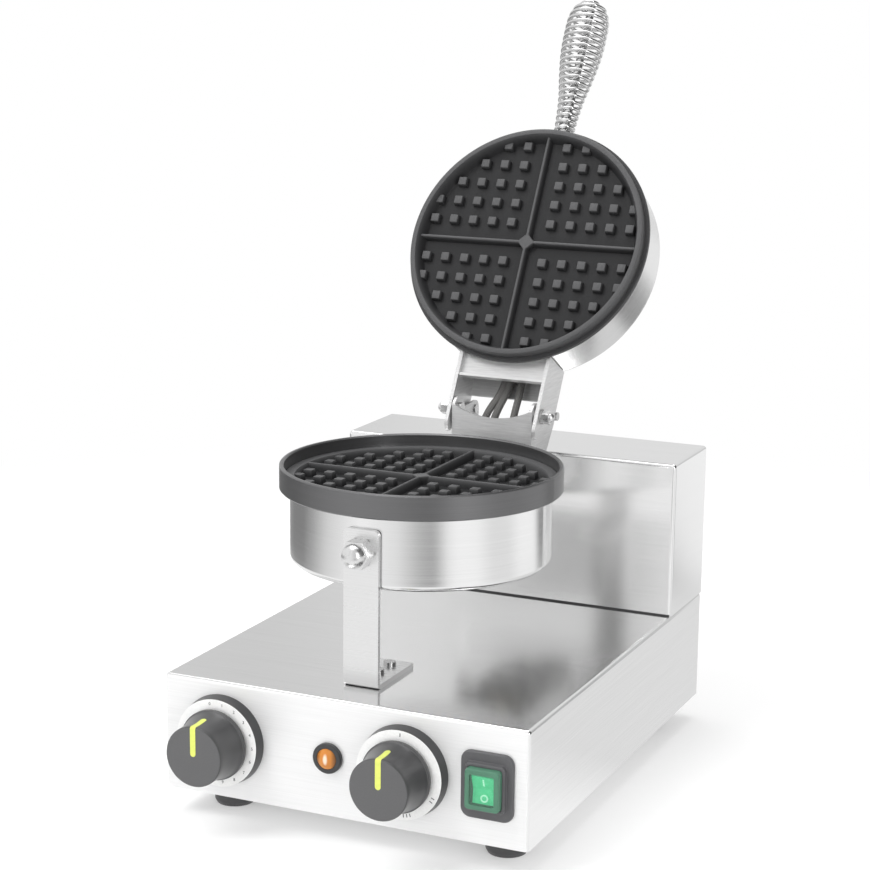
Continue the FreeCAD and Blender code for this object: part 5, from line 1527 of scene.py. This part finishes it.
@dataclass
class Lamp:
    """A soft studio lamp: place and aim in metres."""

    name: str
    place: Spot
    aim: Spot
    size: Point
    power: float
    mirrored: bool = True

    def build(self) -> None:
        """Hang the lamp."""
        data = bpy.data.lights.new(self.name, "AREA")
        data.shape = "RECTANGLE"
        data.size, data.size_y = self.size
        data.energy = self.power
        lamp = bpy.data.objects.new(self.name, data)
        lamp.location = self.place
        lamp.rotation_euler = (Vector(self.aim) - Vector(self.place)).to_track_quat("-Z", "Y").to_euler()
        lamp.visible_glossy = self.mirrored
        bpy.context.scene.collection.objects.link(lamp)


@dataclass
class Studio:
    """White studio: floor, world, lamps and the camera; metres and degrees."""

    camera_place: Spot = (0.57462, -1.32516, 0.53393)
    azimuth: float = 24.344
    elevation: float = 12.124
    roll: float = 0.62
    focal_px: float = 2182.86
    image_px: float = 870.0
    sensor: float = 36.0
    view_end: float = 60.0
    floor_half: float = 14.0
    paper_colour: str = "#f2f2f2"
    seen_colour: str = "#d2d2d2"
    paper_fade: Point = (0.55, 1.0)
    paper_glow: float = 0.405
    shade_glow: float = 0.18
    shade_reach: float = 0.06
    close_fade: Point = (0.45, 0.62)
    room_fade: Point = (1.6, 2.08)
    room_light: float = 0.55
    lamps: list[Lamp] = field(default_factory=lambda: [
        Lamp("key_softbox", (-1.0, -1.25, 1.9), (0.0, 0.0, 0.2), (1.1, 1.1), 26.0, mirrored=False),
        Lamp("front_softbox", (-0.5, -2.0, 0.6), (0.0, -0.2, 0.1), (1.6, 0.9), 9.0, mirrored=False),
        Lamp("strip_softbox", (1.75, -1.15, 0.8), (0.0, 0.0, 0.2), (0.35, 1.4), 9.0),
        Lamp("top_softbox", (-0.2, 0.3, 2.2), (0.0, 0.0, 0.2), (1.8, 1.4), 22.0)])
    walls: list[Point] = field(default_factory=lambda: [
        (-180.0, 0.8), (-157.0, 0.8), (-151.0, 0.65), (-142.0, 0.75), (-120.0, 0.9), (-50.0, 0.9),
        (-32.0, 0.95), (-22.4, 0.9), (-21.3, 0.1), (-19.9, 0.1), (-19.2, 1.0), (-8.0, 1.0), (4.0, 0.85),
        (28.0, 0.7), (38.0, 0.45), (46.0, 0.85), (56.0, 0.8), (64.0, 0.12), (140.0, 0.12), (165.0, 0.8),
        (180.0, 0.8)])
    paper: list[Point] = field(default_factory=lambda: [
        (-180.0, 0.6), (-110.0, 0.24), (-88.0, 0.24), (-72.0, 0.42), (-55.0, 0.72), (-24.0, 1.0), (5.0, 0.83),
        (22.0, 0.5), (32.0, 0.4), (43.0, 0.9), (50.0, 1.0), (66.0, 1.0), (80.0, 0.82), (96.0, 0.82),
        (110.0, 1.0), (132.0, 1.0), (141.0, 0.3), (149.0, 0.25), (154.0, 1.0), (180.0, 1.0)])
    close: list[Point] = field(default_factory=lambda: [
        (-180.0, 0.85), (-120.0, 1.0), (60.0, 1.0), (100.0, 0.8), (180.0, 0.8)])

    def camera(self) -> None:
        """Camera at the photographed angle."""
        az, el, roll = (math.radians(angle) for angle in (self.azimuth, self.elevation, self.roll))
        back = Vector((math.sin(az) * math.cos(el), -math.cos(az) * math.cos(el), math.sin(el)))
        right = Vector((math.cos(az), math.sin(az), 0))
        up = back.cross(right)
        level = right * math.cos(roll) + up * math.sin(roll)
        upright = up * math.cos(roll) - right * math.sin(roll)
        data = bpy.data.cameras.new("photo_camera")
        data.sensor_width = self.sensor
        data.lens = self.focal_px * self.sensor / self.image_px
        data.clip_end = self.view_end
        camera = bpy.data.objects.new("photo_camera", data)
        turn = Matrix((level, upright, back)).transposed().to_4x4()
        camera.matrix_world = Matrix.Translation(self.camera_place) @ turn
        bpy.context.scene.collection.objects.link(camera)
        bpy.context.scene.camera = camera

    def round_about(self, tree: Tree, where: Socket, levels: list[Point]) -> Node:
        """Brightness that changes with the bearing, from the user's side towards the right.

        Args:
            tree: the material's tree.
            where: direction or place whose bearing counts.
            levels: bearing in degrees and brightness there.

        Returns:
            The brightness as a colour.
        """
        apart = add_node(tree, SEPARATE, {0: where}).outputs
        forward = add_node(tree, MATH, {0: apart["Y"], 1: -1.0}, operation="MULTIPLY")
        bearing = add_node(tree, MATH, {0: apart["X"], 1: forward}, operation="ARCTAN2")
        share = add_node(tree, MAP_RANGE, {"Value": bearing, "From Min": -math.pi, "From Max": math.pi})
        return add_node(tree, RAMP, {"Fac": share}, [
            ((angle + 180.0) / 360.0, (level, level, level, 1.0)) for angle, level in levels])

    def paths(self, tree: Tree) -> tuple[Socket, Node]:
        """1 for rays from the camera, and 1 for rays from mirrors and glass.

        Args:
            tree: the tree of the floor or the world.

        Returns:
            The two switches.
        """
        path = add_node(tree, "ShaderNodeLightPath").outputs
        mirror = add_node(tree, MATH, {
            0: path["Is Glossy Ray"], 1: path["Is Transmission Ray"]}, operation="MAXIMUM")
        return path["Is Camera Ray"], mirror

    def fade(self, tree: Tree, reach: Node, span: Point) -> Node:
        """0 up to the start of a span and 1 past its end, changing softly between."""
        return add_node(tree, MAP_RANGE, {"Value": reach, "From Min": span[0], "From Max": span[1]},
                        interpolation_type="SMOOTHSTEP")

    def under_base(self, tree: Tree, where: Socket) -> Node:
        """Painted shade: 1 well under the base, where little of the room's light gets in, and 0 outside it.

        Args:
            tree: the material's tree.
            where: place on the paper.

        Returns:
            The share of shade.
        """
        low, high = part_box("base_housing")
        off = add_node(tree, VECTOR_MATH, {0: where, 1: (low + high) / 2}, operation="SUBTRACT")
        size = add_node(tree, VECTOR_MATH, {0: off}, operation="ABSOLUTE")
        depth = add_node(tree, VECTOR_MATH, {0: (high - low) / 2, 1: size}, operation="SUBTRACT")
        apart = add_node(tree, SEPARATE, {0: depth}).outputs
        inside = add_node(tree, MATH, {0: apart["X"], 1: apart["Y"]}, operation="MINIMUM")
        return self.fade(tree, inside, (0.0, self.shade_reach))

    def paper_seen(self, tree: Tree, where: Socket, reach: Node) -> Node:
        """The paper as the eye sees it: shaded near the object, plain white further off.

        Args:
            tree: the material's tree.
            where: place on the paper.
            reach: distance from the object's middle.

        Returns:
            The shader.
        """
        lift = add_node(tree, MAP_RANGE, {
            "Value": self.under_base(tree, where), "To Min": self.paper_glow, "To Max": self.shade_glow})
        dim = add_node(tree, "ShaderNodeBsdfDiffuse", {"Color": linear(self.seen_colour)})
        glow = add_node(tree, EMISSION, {"Color": WHITE, "Strength": lift})
        near = add_node(tree, "ShaderNodeAddShader", {0: dim, 1: glow})
        white = add_node(tree, EMISSION, {"Color": WHITE})
        return add_node(tree, MIX_SHADER, {0: self.fade(tree, reach, self.paper_fade), 1: near, 2: white})

    def paper_mirrored(self, tree: Tree, where: Socket, reach: Node) -> Node:
        """The paper as metal mirrors it: with darker stretches in some directions, and white far off.

        Args:
            tree: the material's tree.
            where: place on the paper.
            reach: distance from the object's middle.

        Returns:
            The shader.
        """
        level = add_node(tree, MIX, {
            "Factor": self.fade(tree, reach, self.close_fade),
            COLOUR_A: self.round_about(tree, where, self.close),
            COLOUR_B: self.round_about(tree, where, self.paper)}, data_type="RGBA")
        level = add_node(tree, MIX, {
            "Factor": self.fade(tree, reach, self.room_fade), COLOUR_A: level, COLOUR_B: WHITE},
            data_type="RGBA")
        return add_node(tree, EMISSION, {"Color": level})

    def floor(self) -> None:
        """White paper sweep that takes the object's shadow."""
        half = self.floor_half
        corners = [(-half, -half, 0), (half, -half, 0), (half, half, 0), (-half, half, 0)]
        mesh = bpy.data.meshes.new("studio_floor")
        mesh.from_pydata(corners, [], [(0, 1, 2, 3)])
        material = bpy.data.materials.new("white_paper_sweep")
        material.use_nodes = True
        tree = material.node_tree
        tree.nodes.remove(tree.nodes["Principled BSDF"])
        where = add_node(tree, COORDINATES).outputs["Object"]
        reach = add_node(tree, VECTOR_MATH, {0: where}, operation="LENGTH")
        eye, mirror = self.paths(tree)
        paper = add_node(tree, "ShaderNodeBsdfDiffuse", {"Color": linear(self.paper_colour)})
        lit = add_node(tree, MIX_SHADER, {0: mirror, 1: paper, 2: self.paper_mirrored(tree, where, reach)})
        seen = add_node(tree, MIX_SHADER, {0: eye, 1: lit, 2: self.paper_seen(tree, where, reach)})
        set_inputs(tree, tree.nodes["Material Output"], {"Surface": seen})
        mesh.materials.append(material)
        floor = bpy.data.objects.new("studio_floor", mesh)
        bpy.context.scene.collection.objects.link(floor)

    def world(self) -> None:
        """White backdrop for the eye, and walls and flags round the object for metal to mirror."""
        world = bpy.data.worlds.new("white_studio")
        world.use_nodes = True
        tree = world.node_tree
        where = add_node(tree, COORDINATES).outputs["Generated"]
        eye, mirror = self.paths(tree)
        room = (self.room_light, self.room_light, self.room_light, 1.0)
        walls = self.round_about(tree, where, self.walls)
        lit = add_node(tree, MIX, {"Factor": mirror, COLOUR_A: room, COLOUR_B: walls}, data_type="RGBA")
        seen = add_node(tree, MIX, {"Factor": eye, COLOUR_A: lit, COLOUR_B: WHITE}, data_type="RGBA")
        set_inputs(tree, tree.nodes["Background"], {"Color": seen})
        bpy.context.scene.world = world

    def build(self) -> None:
        """Set up the whole studio."""
        self.floor()
        self.world()
        for lamp in self.lamps:
            lamp.build()
        self.camera()
        bpy.context.scene.view_settings.view_transform = "Standard"


def main() -> None:
    """Dress the frame, add the pieces and light the scene."""
    logging.basicConfig(level=logging.INFO, format="%(name)s: %(message)s")
    dress_nodes()
    TowerFoot().build()
    pose = LidPose()
    PlatePair(pose).build()
    CoilHandle(pose).build()
    HeaterLeads(pose).build()
    ControlPanel().build()
    Studio().build()


if __name__ == "__main__":
    main()
